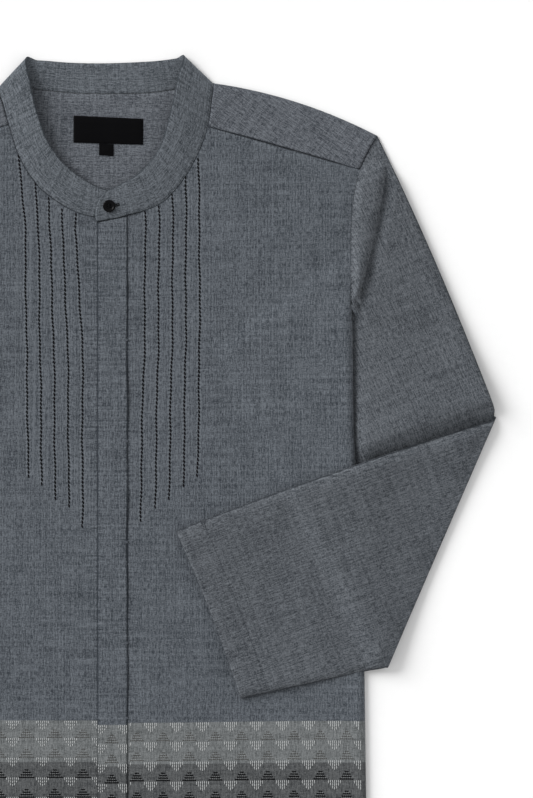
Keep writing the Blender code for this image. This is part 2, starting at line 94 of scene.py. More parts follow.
def bowed(start: Line, end: Line, bow: float, shares: Array) -> Line:
    """Points from start to end on a shallow curve.

    Args:
        start: The first plan point.
        end: The last plan point.
        bow: How far the middle stands out to the left.
        shares: Where the points lie along it, from 0 to 1.

    Returns:
        One plan point for each share.
    """
    side = -turned(end - start)
    shares = np.asarray(shares, float)[:, None]
    return start + (end - start) * shares + side * (bow * hump(shares))


def passed(points: Line) -> Array:
    """How far along a line each of its points lies."""
    return np.concatenate([[0.0], np.cumsum(np.hypot(*np.diff(points[:, :2], axis=0).T))])


def resampled(points: Line, count: int) -> Line:
    """Spread points evenly along a line.

    Args:
        points: The line's points, with two or more coordinates.
        count: How many points are made.

    Returns:
        The new points.
    """
    along = passed(points)
    wanted = np.linspace(0.0, along[-1], count)
    return np.column_stack([np.interp(wanted, along, column) for column in points.T])


def left_of(x: Array, y: Array, start: Line, end: Line) -> Array:
    """How far plan points lie to the left of the line from start to end."""
    side = -turned(end - start)
    return (x - start[0]) * side[0] + (y - start[1]) * side[1]


def mirrored(points: Grid, start: Line, out: Line) -> Grid:
    """Mirror plan points across a fold through start, out being the unit way across it."""
    return points - 2 * ((points - start) @ out)[..., None] * out


def rounded(gap: Array, width: float) -> Array:
    """The profile of a rolled edge: 0 at the edge, then round up to 1 at this width from it."""
    return np.sqrt(1 - (1 - np.clip(gap / width, 0, 1)) ** 2)


def faded(gap: Array, start: float, reach: float) -> Array:
    """A share that is 1 up to this start and then fades over this reach."""
    return np.exp(-np.maximum(gap - start, 0) / reach)


def rolled(gap: Array, width: float, reach: float) -> Array:
    """The profile of a rolled edge that sinks again behind its top."""
    return rounded(gap, width) * faded(gap, width, reach)


def hump(share: Array) -> Array:
    """A parabola that is 0 at the shares 0 and 1, and 1 midway."""
    return 4 * share * (1 - share)


def patch(top: Line, bottom: Line, left: Line, right: Line) -> Grid:
    """Fill four edge lines with a smooth grid of points.

    Args:
        top: The first row, left to right.
        bottom: The last row, left to right.
        left: The first column, top to bottom.
        right: The last column, top to bottom.

    Returns:
        Points as rows by columns by coordinates.
    """
    across = np.linspace(0, 1, len(top))[None, :, None]
    down = np.linspace(0, 1, len(left))[:, None, None]
    corners = (1 - down) * ((1 - across) * top[0] + across * top[-1])
    corners = corners + down * ((1 - across) * bottom[0] + across * bottom[-1])
    rows = (1 - down) * top[None] + down * bottom[None]
    columns = (1 - across) * left[:, None] + across * right[:, None]
    return rows + columns - corners


def nearest(points: Array, lines: Sequence[Line]) -> Array:
    """Measure plan points against seam lines.

    Args:
        points: Plan points, one a row.
        lines: Seam lines, each a row of plan points.

    Returns:
        For each point, how far along the nearest seam it lies and how far from it.
    """
    best = np.full(len(points), 1e9)
    along = np.zeros(len(points))
    before = 0.0
    for line in lines:
        for start, end in zip(line, line[1:]):
            way = end - start
            length = max(float(np.hypot(*way)), 1e-9)
            share = np.clip(((points - start) @ way) / length**2, 0, 1)
            gap = np.hypot(*(points - start - share[:, None] * way).T)
            closer = gap < best
            best[closer] = gap[closer]
            along[closer] = (before + share * length)[closer]
            before += length
    return np.column_stack([along, best])


@dataclass(frozen=True)
class Crease:
    """A soft ridge across the cloth, or a trough where its height is below 0."""

    start: Pair
    end: Pair
    height: float
    width: float
    bend: float = 0.0

    def rise(self, x: Array, y: Array) -> Array:
        """Measure the crease at plan points.

        Args:
            x: Their X.
            y: Their Y.

        Returns:
            How much it lifts the cloth.
        """
        start, end = np.array(self.start), np.array(self.end)
        way = end - start
        length = np.hypot(*way)
        share = ((x - start[0]) * way[0] + (y - start[1]) * way[1]) / length**2
        across = left_of(x, y, start, end) - self.bend * hump(share)
        fade = smooth((0.5 - np.abs(share - 0.5)) / 0.3)
        return self.height * np.exp(-((across / self.width) ** 2)) * fade


@dataclass(frozen=True)
class Plan:
    """Where the shirt's seams and edges lie, as in the CAD, in millimetres."""

    layer: float = 1.3
    high: float = 1.8
    low: float = 0.35
    hem_y: float = -354.0
    hem_deep: float = 25.0
    shoulder_tip: Pair = (240.8, 327.8)
    shoulder_bow: float = 6.8
    yoke_seam_arm: Pair = (223.7, 297.6)
    back_yoke_seam_y: float = 270.0
    armhole_low: Pair = (216.6, 207.7)
    armhole_curve: float = 3.5
    back_armhole_bow: float = 12.0
    side_edge: tuple[Pair, ...] = (
        # y, half width
        (207.7, 216.6), (162.0, 217.8), (66.7, 219.2), (-157.5, 228.9), (-354.0, 231.5),
    )
    armpit: Pair = (112.0, 133.0)
    elbow_over: Pair = (348.3, 75.6)
    elbow_under: Pair = (249.6, -151.9)
    cuff_over: Pair = (59.5, -27.4)
    cuff_under: Pair = (117.9, -178.8)
    sleeve_lift: float = 2.6
    ramp: float = 18.0
    edge_ramp: float = 70.0
    side_roll: float = 3.8
    side_roll_width: float = 6.5
    seam: float = 0.12
    neck_seam: float = 0.15
    # How much of its real distance counts for the painted shade lines beside the placket, which
    # are wider.
    fly_shade_scale: float = 0.55
    collar: tuple[tuple[float, ...], ...] = (
        # seam x, seam y, seam z, top x, top y, top z
        (11.5, 252.6, 1.8, 2.0, 277.6, 1.8),
        (-13.8, 254.8, 1.8, -12.0, 282.6, 2.1),
        (-32.0, 260.0, 1.8, -25.0, 290.1, 2.8),
        (-49.0, 269.8, 1.8, -36.0, 298.3, 3.6),
        (-66.3, 284.6, 1.8, -47.0, 309.8, 4.6),
        (-81.5, 309.0, 1.8, -57.0, 326.5, 5.8),
        (-91.0, 338.0, 1.8, -65.0, 350.0, 6.8),
        (-96.5, 357.0, 1.8, -70.6, 374.4, 7.0),
        (-100.3, 371.3, 1.8, -75.0, 397.4, 3.8),
        (-80.0, 372.2, 0.5, -66.0, 396.2, 0.5),
        (-62.0, 369.6, 0.5, -56.0, 395.5, 0.5),
        (-34.0, 366.8, 0.5, -34.0, 393.8, 0.5),
        (0.0, 366.0, 0.5, -2.0, 393.4, 0.5),
        (34.0, 366.8, 0.5, 34.0, 394.9, 0.5),
        (58.0, 369.8, 0.5, 50.0, 396.4, 0.5),
        (76.0, 372.6, 0.5, 59.5, 397.8, 0.5),
        (91.9, 375.5, 1.8, 66.3, 399.3, 3.8),
        (91.2, 359.0, 1.8, 61.1, 379.5, 7.0),
        (87.8, 336.3, 1.8, 56.8, 357.2, 6.8),
        (79.5, 312.5, 1.8, 50.8, 334.8, 5.8),
        (67.0, 290.0, 1.8, 43.9, 315.9, 4.8),
        (50.0, 270.2, 1.8, 34.0, 302.0, 3.9),
        (33.0, 261.2, 1.8, 21.5, 290.9, 3.4),
        (17.0, 256.9, 3.1, 11.0, 285.2, 3.1),
        (7.7, 254.2, 3.1, 4.3, 281.4, 3.1),
        (-12.8, 250.2, 3.1, -3.6, 277.4, 3.1),
    )
    collar_fold: tuple[int, int] = (8, 16)
    collar_yoke_seam: tuple[int, int] = (6, 18)
    placket: Pair = (-11.0, 15.7)
    underlap: float = 13.0
    band_top: float = -198.5
    band_split: float = -235.8
    band_foot: float = -306.5

    def collar_rows(self, first: int, last: int, steps: int) -> Grid:
        """The collar's sections from row first to row last on a smooth curve.

        Args:
            first: The first row of the collar table.
            last: The last row.
            steps: How many sections are made for each row.

        Returns:
            One section a row: the seam's point, then the top edge's.
        """
        table = np.array(self.collar)
        rows = []
        for at in range(first, last):
            a, b, c, d = (table[max(0, min(len(table) - 1, at + step))] for step in (-1, 0, 1, 2))
            for share in np.arange(steps) / steps:
                cubic = (2 * a - 5 * b + 4 * c - d) * share**2 + (3 * b - a - 3 * c + d) * share**3
                rows.append((2 * b + (c - a) * share + cubic) / 2)
        rows.append(table[last])
        made = np.array(rows)
        made[:, [2, 5]] = np.maximum(made[:, [2, 5]], 0.5)
        return made

    def neckline(self, first: int, last: int, steps: int = 6) -> Line:
        """Find the neck edge of the cloth that the collar is sewn to.

        Args:
            first: The first row of the collar table.
            last: The last row.
            steps: How many points are made for each row.

        Returns:
            Its plan points.
        """
        rows = self.collar_rows(first, last, steps)
        points = rows[:, :2]
        way = np.gradient(points, axis=0)
        side = np.column_stack([way[:, 1], -way[:, 0]]) / np.hypot(*way.T)[:, None]
        inward = np.einsum("ij,ij->i", side, rows[:, 3:5] - points) > 0
        side[inward] *= -1
        return points + side * self.neck_seam

    def front_armhole(self, count: int, away: float = 0.0) -> Line:
        """Find the armhole seam that shows, from the shoulder tip down to where it goes under.

        Args:
            count: How many points are made.
            away: How far they are moved out.

        Returns:
            Its plan points at +X.
        """
        height = 1 - np.linspace(0, 1, count)
        tip, foot = self.shoulder_tip, self.armhole_low
        return np.column_stack([foot[0] + (tip[0] - foot[0]) * height**self.armhole_curve + away,
                                foot[1] + (tip[1] - foot[1]) * height])

    def back_armhole(self, shares: Array, away: float = 0.0) -> Line:
        """The armhole seam on the back, from the shoulder tip down to the armpit."""
        tip, foot = np.array(self.shoulder_tip), np.array(self.armpit)
        return bowed(tip, foot, -self.back_armhole_bow, shares) + turned(tip - foot) * away

    def side_line(self, top: float, foot: float, count: int) -> Line:
        """Find the body's side edge between two levels.

        Args:
            top: The first level.
            foot: The last level.
            count: How many points are made.

        Returns:
            Its plan points at +X.
        """
        edge = np.array(self.side_edge)
        level = np.linspace(top, foot, count)
        return np.column_stack([np.interp(-level, -edge[:, 0], edge[:, 1]), level])

    def side_x(self, y: Array) -> Array:
        """The body's half width at these levels."""
        edge = np.array(self.side_edge)
        return np.interp(-y, -edge[:, 0], edge[:, 1])

    def neck_point(self, side: int) -> Line:
        """Where the shoulder's fold meets the collar, mirrored to +X."""
        row = self.collar[self.collar_fold[side > 0]]
        return np.array([row[0] * side, row[1]])

    def shoulder_line(self, side: int, count: int) -> Line:
        """Find the shoulder's folded edge from the neck point to the tip.

        Args:
            side: 1 for the left shoulder and -1 for the right.
            count: How many points are made.

        Returns:
            Its plan points, mirrored to +X.
        """
        start, tip = self.neck_point(side), np.array(self.shoulder_tip)
        points = bowed(start, tip, self.shoulder_bow, np.linspace(0, 1, count))
        points += turned(tip - start) * (self.layer / 2 + 0.3)
        points[0, 0] += 1.2
        points[-1] += (points[0] - points[-1]) / np.hypot(*(points[0] - points[-1])) * self.seam
        return points


PLAN = Plan()

BODY_CREASES = (
    Crease((104, 182), (210, 126), -0.55, 9, 4),
    Crease((96, 228), (198, 246), 0.45, 14, -3),
    Crease((100, 58), (208, 92), 0.4, 16, 5),
    Crease((30, -52), (52, -168), 0.45, 18, 3),
    Crease((-92, -36), (-20, -160), 0.5, 22, 6),
    Crease((-84, 190), (-18, 120), 0.25, 14, 4),
    Crease((122, -192), (222, -262), 0.5, 16, -6),
    Crease((40, -250), (120, -338), 0.45, 15, 6),
    Crease((-206, 102), (-104, 58), -0.5, 10, 4),
    Crease((-212, 150), (-110, 196), 0.55, 12, -4),
    Crease((-192, -52), (-118, -246), 0.6, 18, 8),
    Crease((-150, 246), (-204, 150), 0.4, 12, 3),
    Crease((-216, -150), (-150, -320), -0.4, 13, -4),
    Crease((-110, -240), (-30, -344), 0.4, 16, 5),
)

SLEEVE_CREASES = (
    Crease((256, 268), (296, 176), 0.5, 13, 4),
    Crease((236, 206), (304, 190), 0.8, 9, 3),
    Crease((228, 160), (318, 142), -0.6, 9, 4),
    Crease((232, 126), (330, 112), 0.5, 11, -3),
)

FOREARM_CREASES = (
    Crease((150, -8), (136, -140), -0.2, 12, 1),
    Crease((112, -16), (112, -150), 0.3, 17, 2),
    Crease((188, 16), (172, -150), 0.2, 18, 3),
    Crease((262, 46), (226, -140), -0.2, 15, -4),
)

STRAIGHT_FOREARM_CREASES = (
    Crease((-350, 40), (-262, -60), 0.6, 14, 4),
    Crease((-372, -20), (-280, -96), -0.5, 11, -4),
    Crease((-384, -96), (-300, -190), 0.5, 15, 5),
    Crease((-400, -190), (-330, -260), -0.35, 10, 2),
)

CAP_FOLD = np.array(
    # where the sleeve's head turns under on itself, from the shoulder down to the body's edge
    [(248.6, 309.0), (247.8, 295.5), (246.6, 280.0), (243.5, 264.5), (237.2, 233.6),
     (228.6, 199.4), (218.4, 162.0), (217.0, 140.0)]
)

PLACKET_GAPES = (
    # level, half height and lift of the places where the placket's right edge gapes
    (191.0, 14.0, 0.9), (94.0, 36.0, 1.1), (-6.0, 34.0, 0.8), (-80.0, 30.0, 0.45),
    (-160.0, 24.0, 0.4), (-262.0, 26.0, 0.5),
)

STITCH_LEVELS = (243.0, 143.0, 27.0)
STITCH_LINES = (
    # top x, top y, x at each of STITCH_LEVELS, bottom y
    (-81.9, 310.5, -76.5, -75.3, -73.7, 19.8),
    (-67.1, 285.8, -64.5, -63.2, -61.6, 12.6),
    (-55.1, 272.7, -54.4, -50.8, -49.6, -1.8),
    (-43.0, 262.4, -43.2, -38.3, -37.4, -8.1),
    (-30.2, 258.3, -31.6, -24.9, -24.9, -25.2),
    (31.3, 260.1, 31.7, 30.9, 27.8, -19.8),
    (43.6, 265.1, 44.1, 43.3, 40.9, -9.9),
    (55.8, 276.3, 56.6, 55.8, 53.3, 0.5),
    (68.0, 291.6, 68.3, 68.0, 66.2, 10.8),
    (79.2, 307.8, 80.5, 80.5, 78.8, 20.7),
)


STITCH_PITCH = 3.6


def stitch_path(line: Sequence[float]) -> Line:
    """Lay out one running stitch line, a little wavy and a whole number of stitches long.

    Args:
        line: A row of STITCH_LINES.

    Returns:
        Its plan points, from the top down.
    """
    top_x, top_y, foot_y = line[0], line[1], line[5]
    known_y = [top_y, *STITCH_LEVELS, min(foot_y, STITCH_LEVELS[-1] - 1)]
    known_x = [top_x, *line[2:5], line[4]]
    y = np.arange(top_y - 1.5, foot_y, -1.2)
    x = np.interp(-y, [-level for level in known_y], known_x)
    wave = 0.35 * np.sin(y / 17.0 + top_x) + 0.25 * np.sin(y / 6.3 + 2 * top_x)
    points = np.column_stack([x + wave, y])
    along = passed(points)
    wanted = np.append(np.arange(0, along[-1] - 1, 1.2), 0)
    wanted[-1] = STITCH_PITCH * (along[-1] // STITCH_PITCH)
    wanted = np.unique(np.minimum(wanted, wanted[-1]))
    return np.column_stack([np.interp(wanted, along, column) for column in points.T])


class Lie:
    """How high each layer lies at a plan point: the CAD's levels, eased, with the soft creases."""

    def over_sleeve(self, x: Array, y: Array) -> Array:
        """How far the body is lifted over the sleeves that pass under its sides.

        Args:
            x: Plan points' X.
            y: Their Y.

        Returns:
            Shares from 0 to 1.
        """
        armpit, low = np.array(PLAN.armpit), np.array(PLAN.armhole_low)
        seam = left_of(np.abs(x), y, armpit, np.array(PLAN.elbow_under))
        cap = left_of(np.abs(x), y, armpit, low)
        return smooth(1 + seam / PLAN.ramp) * smooth(1 - cap / PLAN.ramp)

    def over_body(self, x: Array, y: Array) -> Array:
        """How far the turned-back forearm is lifted over the body's side.

        Args:
            x: Plan points' X.
            y: Their Y.

        Returns:
            Shares from 0 to 1.
        """
        seam = left_of(x, y, np.array(PLAN.armpit), np.array(PLAN.elbow_under))
        edge = x - PLAN.side_x(y)
        return smooth(1 + seam / PLAN.ramp) * smooth(1 - edge / PLAN.edge_ramp)

    def body(self, x: Array, y: Array) -> Array:
        """The soft lie of the body's front, its sides rolled over.

        Args:
            x: Plan points' X.
            y: Their Y.

        Returns:
            How far the cloth is lifted.
        """
        lift = sum(crease.rise(x, y) for crease in BODY_CREASES)
        inside = PLAN.side_x(y) - np.abs(x)
        roll = PLAN.side_roll * rolled(inside, PLAN.side_roll_width, 26)
        return 0.15 + lift * smooth(inside / 12) + smooth((196 - y) / 32) * roll

    def over_side(self, x: Array, y: Array) -> Array:
        """The lie of what rests on the body's front and bridges its side's roll.

        Args:
            x: Plan points' X.
            y: Their Y.

        Returns:
            How far the cloth is lifted.
        """
        lift = sum(crease.rise(x, y) for crease in BODY_CREASES)
        inside = PLAN.side_x(y) - x
        bridge = PLAN.side_roll * faded(inside, PLAN.side_roll_width, 95) * smooth(1 + inside / 95)
        return 0.15 + lift * smooth(inside / 12) + bridge

    def above_forearm(self, x: Array, y: Array) -> Array:
        """How far plan points lie above the turned-back forearm's top edge."""
        return left_of(x, y, np.array(PLAN.cuff_over), np.array(PLAN.elbow_over))

    def sleeve(self, x: Array, y: Array, folded: bool) -> Array:
        """The soft lie of a sleeve's upper layer beside the body.

        Args:
            x: Plan points' X, mirrored to +X.
            y: Their Y.
            folded: Whether the forearm is turned back, so that the sleeve dips under it.

        Returns:
            How far the cloth is lifted.
        """
        fold_x = np.interp(-y, -CAP_FOLD[:, 1], CAP_FOLD[:, 0])
        armhole = PLAN.front_armhole(60)
        seam_x = np.where(
            y > PLAN.armhole_low[1],
            np.interp(y, armhole[::-1, 1], armhole[::-1, 0]),
            PLAN.side_x(y),
        )
        room = np.maximum(fold_x - seam_x, 1.0)
        head = rounded(fold_x - x, 10.0) * smooth((x - seam_x + 2) / np.minimum(room, 10))
        reach = smooth((y - 140) / 30) * smooth((308 - y) / 24)
        wall = smooth((x - fold_x - 1) / 12) * faded(x - fold_x, 12, 30)
        puff = 1.4 * smooth((x - seam_x - 10) / 40) * smooth((330 - y) / 60)
        lift = sum(crease.rise(x, y) for crease in SLEEVE_CREASES) + puff
        lift = lift * smooth((x - fold_x) / 12)
        step = PLAN.sleeve_lift * self.over_sleeve(seam_x, y) * rounded(fold_x - x, 3)
        raised = 7.4 * head * smooth(room / 5) + 2.0 * wall + step * smooth((y - 150) / 12)
        made = (x > seam_x) * reach * raised
        made = made + smooth((x - seam_x) / 5) * lift
        if not folded:
            return made
        above = self.above_forearm(x, y)
        swell = smooth((above + 1) / 16) * faded(above, 16, 60)
        swell = swell * smooth((x - seam_x - 1) / 9)
        return made * smooth((above - 2) / 24) + 10.5 * swell

    def placket(self, x: Array, y: Array) -> Array:
        """The lie of the placket, which is close to the front and gapes in places.

        Args:
            x: Plan points' X.
            y: Their Y.

        Returns:
            Its heights.
        """
        across = np.clip((x - PLAN.placket[0]) / (PLAN.placket[1] - PLAN.placket[0]), 0, 1)
        z = self.front(x, y, PLAN.high + 0.54) + 0.35 * np.sqrt(hump(across))
        for level, half, lift in PLACKET_GAPES:
            z = z + lift * smooth(1 - np.abs(y - level) / half) * across**3
        return z + 0.45 * smooth(1 - np.abs(y - 232) / 18) * (1 - across) ** 3

    def front(self, x: Array, y: Array, level: float) -> Array:
        """The height of a body layer whose level in the CAD is given."""
        return level + PLAN.sleeve_lift * self.over_sleeve(x, y) + self.body(x, y)


LIE = Lie()


class ClothMesh:
    """Gathers grids of points into one sheet of cloth and makes it an object with a wall."""

    def __init__(self, name: str) -> None:
        """Start an empty sheet.

        Args:
            name: The name of the piece.
        """
        self.name = name
        self.points: list[Array] = []
        self.faces: list[Array] = []
        self.maps: dict[str, list[Array]] = {"cloth": [], "seam": [], "stitch": []}
        self.count = 0

    def add(self, grid: Grid, weave: Grid, seams: Sequence[Line] | Grid,
            stitches: Grid | None = None) -> None:
        """Add a grid of points. It closes on itself where weave has one column more than grid.

        Args:
            grid: Points as rows by columns by three.
            weave: The weft and warp coordinates of each point.
            seams: Seam lines to measure from, or the measures themselves, shaped as weave.
            stitches: How far across and along the nearest running stitches each point lies.
        """
        rows, columns = grid.shape[:2]
        if isinstance(seams, np.ndarray):
            measured = seams
        else:
            measured = nearest(grid[..., :2].reshape(-1, 2), seams).reshape(rows, columns, 2)
        if stitches is None:
            stitches = np.full(measured.shape, 9.0)
        wide = weave.shape[1]
        r, c = np.meshgrid(np.arange(rows - 1), np.arange(wide - 1), indexing="ij")
        corner_r = np.stack([r, r + 1, r + 1, r], axis=-1).reshape(-1, 4)
        corner_c = np.stack([c, c, c + 1, c + 1], axis=-1).reshape(-1, 4)
        self.faces.append(self.count + corner_r * columns + corner_c % columns)
        for values, found in zip(self.maps.values(), (weave, measured, stitches)):
            values.append(found[corner_r, corner_c].reshape(-1, 2))
        self.points.append(grid.reshape(-1, 3))
        self.count += rows * columns

    def make(self, look: Material, wall: float = 0.6) -> Object:
        """Make the object.

        Args:
            look: The cloth's material.
            wall: The cloth's thickness in millimetres.

        Returns:
            A new object in the scene, its place in its mesh.
        """
        data = bpy.data.meshes.new(self.name)
        data.from_pydata(np.concatenate(self.points) * MM, [], np.concatenate(self.faces).tolist())
        for name, values in self.maps.items():
            layer = data.uv_layers.new(name=name)
            layer.data.foreach_set("uv", (np.concatenate(values) * MM).astype(np.float32).ravel())
        work = bmesh.new()
        work.from_mesh(data)
        bmesh.ops.remove_doubles(work, verts=work.verts, dist=0.02 * MM)
        bmesh.ops.recalc_face_normals(work, faces=work.faces)
        for face in work.faces:
            face.smooth = True
        work.to_mesh(data)
        work.free()
        made = place(self.name, data, look)
        solidify = made.modifiers.new("wall", "SOLIDIFY")
        solidify.thickness = wall * MM
        solidify.offset = 0.0
        solidify.use_quality_normals = True
        return made


def place(name: str, data: Mesh, look: Material) -> Object:
    """Link a mesh to the scene as an object with one material.

    Args:
        name: The name of the piece.
        data: Its mesh, in metres.
        look: Its material.

    Returns:
        The new object.
    """
    data.name = name
    data.materials.clear()
    data.materials.append(look)
    made = bpy.data.objects.new(name, data)
    bpy.context.scene.collection.objects.link(made)
    return made


def node(tree: Tree, kind: str, links: dict[Any, Any] | None = None,
         **settings: Any) -> Node:
    """Add a node to a tree.

    Args:
        tree: The tree that takes it.
        kind: Blender's name for the node's type.
        links: For each input, by name or number, a socket to link or a value to set.
        **settings: The node's own properties.

    Returns:
        The new node.
    """
    made = tree.nodes.new(kind)
    for name, value in settings.items():
        setattr(made, name, value)
    for name, value in (links or {}).items():
        if isinstance(value, Socket):
            tree.links.new(value, made.inputs[name])
        else:
            made.inputs[name].default_value = value
    return made


MATH, MIX = "ShaderNodeMath", "ShaderNodeMix"


def new_material(name: str, constants: dict[str, float]) -> tuple[Material, Tree, Node]:
    """Make a material with a Principled shader.

    Args:
        name: The material's name.
        constants: The shader's constant inputs.

    Returns:
        The material, its tree and its shader node.
    """
    made = bpy.data.materials.new(name)
    made.use_nodes = True
    shader = made.node_tree.nodes["Principled BSDF"]
    for key, value in constants.items():
        shader.inputs[key].default_value = value
    return made, made.node_tree, shader


def coloured(tree: Tree, shader: Node, share: Socket, first: str, second: str) -> None:
    """Give a shader a base colour that goes from one tone to another.

    Args:
        tree: The material's tree.
        shader: Its shader.
        share: How far the colour has gone, from 0 to 1.
        first: The first tone's hex code.
        second: The second tone's.
    """
    mix = node(tree, MIX, {0: share, 6: linear(first), 7: linear(second)}, data_type="RGBA")
    tree.links.new(mix.outputs[2], shader.inputs["Base Color"])


def embossed(tree: Tree, shader: Node, relief: Socket, strength: float, depth: float) -> None:
    """Give a shader a fine relief.

    Args:
        tree: The material's tree.
        shader: Its shader.
        relief: The height.
        strength: How much of the relief shows.
        depth: How deep it is, in millimetres.
    """
    bump = node(tree, "ShaderNodeBump",
                {"Height": relief, "Strength": strength, "Distance": depth * MM})
    tree.links.new(bump.outputs[0], shader.inputs["Normal"])


def weighed(tree: Tree, start: Socket | float, parts: Sequence[tuple[Socket, float]]) -> Socket:
    """Add up patterns by their weights.

    Args:
        tree: The material's tree.
        start: What they are added to.
        parts: Each pattern with its weight.

    Returns:
        The socket that gives the sum.
    """
    for part, weight in parts:
        start = node(tree, MATH, {0: part, 1: weight, 2: start},
                     operation="MULTIPLY_ADD").outputs[0]
    return start


class Ground(Enum):
    """What a chambray piece is woven with besides its plain ground."""

    PLAIN = "plain"
    BANDED = "banded"


@dataclass(frozen=True)
class Chambray:
    """Cotton chambray: a plain weave of dark and pale yarns, so it looks salted and streaky.

    Its threads are spaced 0.45 mm apart in the real cloth. That is half a pixel of the render, so
    the ribs are drawn three times as wide and the uneven yarns as streaks about a pixel wide.
    """

    name: str
    dark: str = "#2a2f35"
    pale: str = "#5e6369"
    ground: Ground = Ground.PLAIN
    contrast: float = 1.0
    rib: float = 2.7
    light_band: tuple[str, str] = ("#484b4c", "#717475")
    dark_band: tuple[str, str] = ("#2d2f31", "#585a5b")

    def noise(self, tree: Tree, where: Socket, across: float, along: float,
              detail: float = 0.0) -> Socket:
        """A noise centred on 0, its grains of this size in millimetres across and along the warp.

        Args:
            tree: The material's tree.
            where: Weave coordinates in millimetres.
            across: The grains' width.
            along: The grains' length.
            detail: How many finer octaves are added.

        Returns:
            The socket that gives the noise.
        """
        scaled = node(tree, "ShaderNodeVectorMath", {0: where, 1: (1 / across, 1 / along, 1.0)},
                      operation="MULTIPLY")
        made = node(tree, "ShaderNodeTexNoise",
                    {"Vector": scaled.outputs[0], "Scale": 1.0, "Detail": detail},
                    noise_dimensions="2D")
        return node(tree, MATH, {0: made.outputs[0], 1: 0.5}, operation="SUBTRACT").outputs[0]

    def measured(self, tree: Tree, uv_map: str) -> tuple[Socket, Socket, Socket]:
        """Read a UV map in millimetres.

        Args:
            tree: The material's tree.
            uv_map: The map's name.

        Returns:
            Its coordinates together, then U and V apart.
        """
        uv = node(tree, "ShaderNodeUVMap", uv_map=uv_map)
        where = node(tree, "ShaderNodeVectorMath", {0: uv.outputs[0], 1: (1 / MM,) * 3},
                     operation="MULTIPLY").outputs[0]
        split = node(tree, "ShaderNodeSeparateXYZ", {0: where})
        return where, split.outputs[0], split.outputs[1]

    def fading(self, tree: Tree, value: Socket, near: float, far: float, most: float) -> Socket:
        """A share that fades out with distance.

        Args:
            tree: The material's tree.
            value: The distance in millimetres, its sign left out.
            near: Where the share starts to fade.
            far: Where it has gone.
            most: The share before it fades.

        Returns:
            The socket that gives the share.
        """
        apart = node(tree, MATH, {0: value}, operation="ABSOLUTE").outputs[0]
        return node(tree, "ShaderNodeMapRange",
                    {0: apart, 1: near, 2: far, 3: most, 4: 0.0}).outputs[0]

    def gathered(self, tree: Tree) -> Socket:
        """Where the cloth between two running stitches is gathered up: a bump, and a highlight
        painted into the colour.

        Args:
            tree: The material's tree.

        Returns:
            The socket that gives a share, 1 midway between two stitches.
        """
        _, across, along = self.measured(tree, "stitch")
        near = self.fading(tree, across, 1.0, 2.6, 1.0)
        turns = node(tree, MATH, {0: along, 1: math.tau / STITCH_PITCH}, operation="MULTIPLY")
        wave = node(tree, MATH, {0: turns.outputs[0]}, operation="COSINE")
        between = weighed(tree, 0.5, [(wave.outputs[0], -0.5)])
        return node(tree, MATH, {0: near, 1: between}, operation="MULTIPLY").outputs[0]

    def material(self) -> Material:
        """Build the material on the cloth, seam and stitch UV maps.

        Returns:
            The finished material.
        """
        made, tree, shader = new_material(self.name, {
            "Roughness": 0.88, "Specular IOR Level": 0.2, "Sheen Weight": 0.06,
            "Sheen Roughness": 0.5})
        where, across, along = self.measured(tree, "cloth")
        seam, _, gap = self.measured(tree, "seam")
        warp = self.noise(tree, where, 0.8, 5.5, 2.0)
        weft = self.noise(tree, where, 3.6, 0.8, 1.0)
        turns = node(tree, MATH, {0: across, 1: math.tau / self.rib}, operation="MULTIPLY")
        rib = node(tree, MATH, {0: turns.outputs[0]}, operation="SINE").outputs[0]
        # Seam puckers: a real bump, with their light and shade also painted into the colour.
        pucker_shade_and_bump = node(tree, MATH, {0: self.noise(tree, seam, 1.9, 12.0),
                                   1: self.fading(tree, gap, 0.6, 9.0, 1.0)},
                      operation="MULTIPLY").outputs[0]
        # Painted shade: a thin dark line along seams, hems, pressed edges and the placket's edges.
        line = self.fading(tree, gap, 0.1, 0.75, 0.75)
        # Painted highlight: the colour is lightened midway between running stitches, on the
        # gathers, besides their bump.
        gather_highlight_and_bump = self.gathered(tree)

        patterns = (
            # warp and weft slubs, speckle, cloudy dye, long warp and weft yarns, rib, seam pucker
            # with its painted light and shade
            (warp, 1.6), (weft, 0.85), (self.noise(tree, where, 0.8, 1.3), 0.8),
            (self.noise(tree, where, 18.0, 26.0, 2.0), 0.34),
            (self.noise(tree, where, 1.5, 60.0), 0.4), (self.noise(tree, where, 60.0, 2.2), 0.36),
            (rib, 0.05), (pucker_shade_and_bump, 0.75),
        )
        value = weighed(tree, 0.5, [(part, weight * self.contrast) for part, weight in patterns])
        value = weighed(tree, value, [(line, -1.0), (gather_highlight_and_bump, 1.3)])
        share = node(tree, "ShaderNodeClamp", {0: value}).outputs[0]

        colour = node(tree, MIX, {0: share, 6: linear(self.dark), 7: linear(self.pale)},
                      data_type="RGBA").outputs[2]
        if self.ground is Ground.BANDED:
            for (dark, pale), top, foot in (
                (self.light_band, PLAN.band_top, PLAN.band_split),
                (self.dark_band, PLAN.band_split, PLAN.band_foot),
            ):
                above = node(tree, MATH, {0: along, 1: foot}, operation="GREATER_THAN")
                under = node(tree, MATH, {0: along, 1: top}, operation="LESS_THAN")
                inside = node(tree, MATH, {0: above.outputs[0], 1: under.outputs[0]},
                              operation="MULTIPLY").outputs[0]
                band = node(tree, MIX, {0: share, 6: linear(dark), 7: linear(pale)},
                            data_type="RGBA").outputs[2]
                colour = node(tree, MIX, {0: inside, 6: colour, 7: band},
                              data_type="RGBA").outputs[2]
        tree.links.new(colour, shader.inputs["Base Color"])
        relief = weighed(tree, weft, [(warp, 1.0), (rib, 0.15), (pucker_shade_and_bump, 2.6), (gather_highlight_and_bump, 1.2)])
        embossed(tree, shader, relief, 0.5, 0.25)
        return made


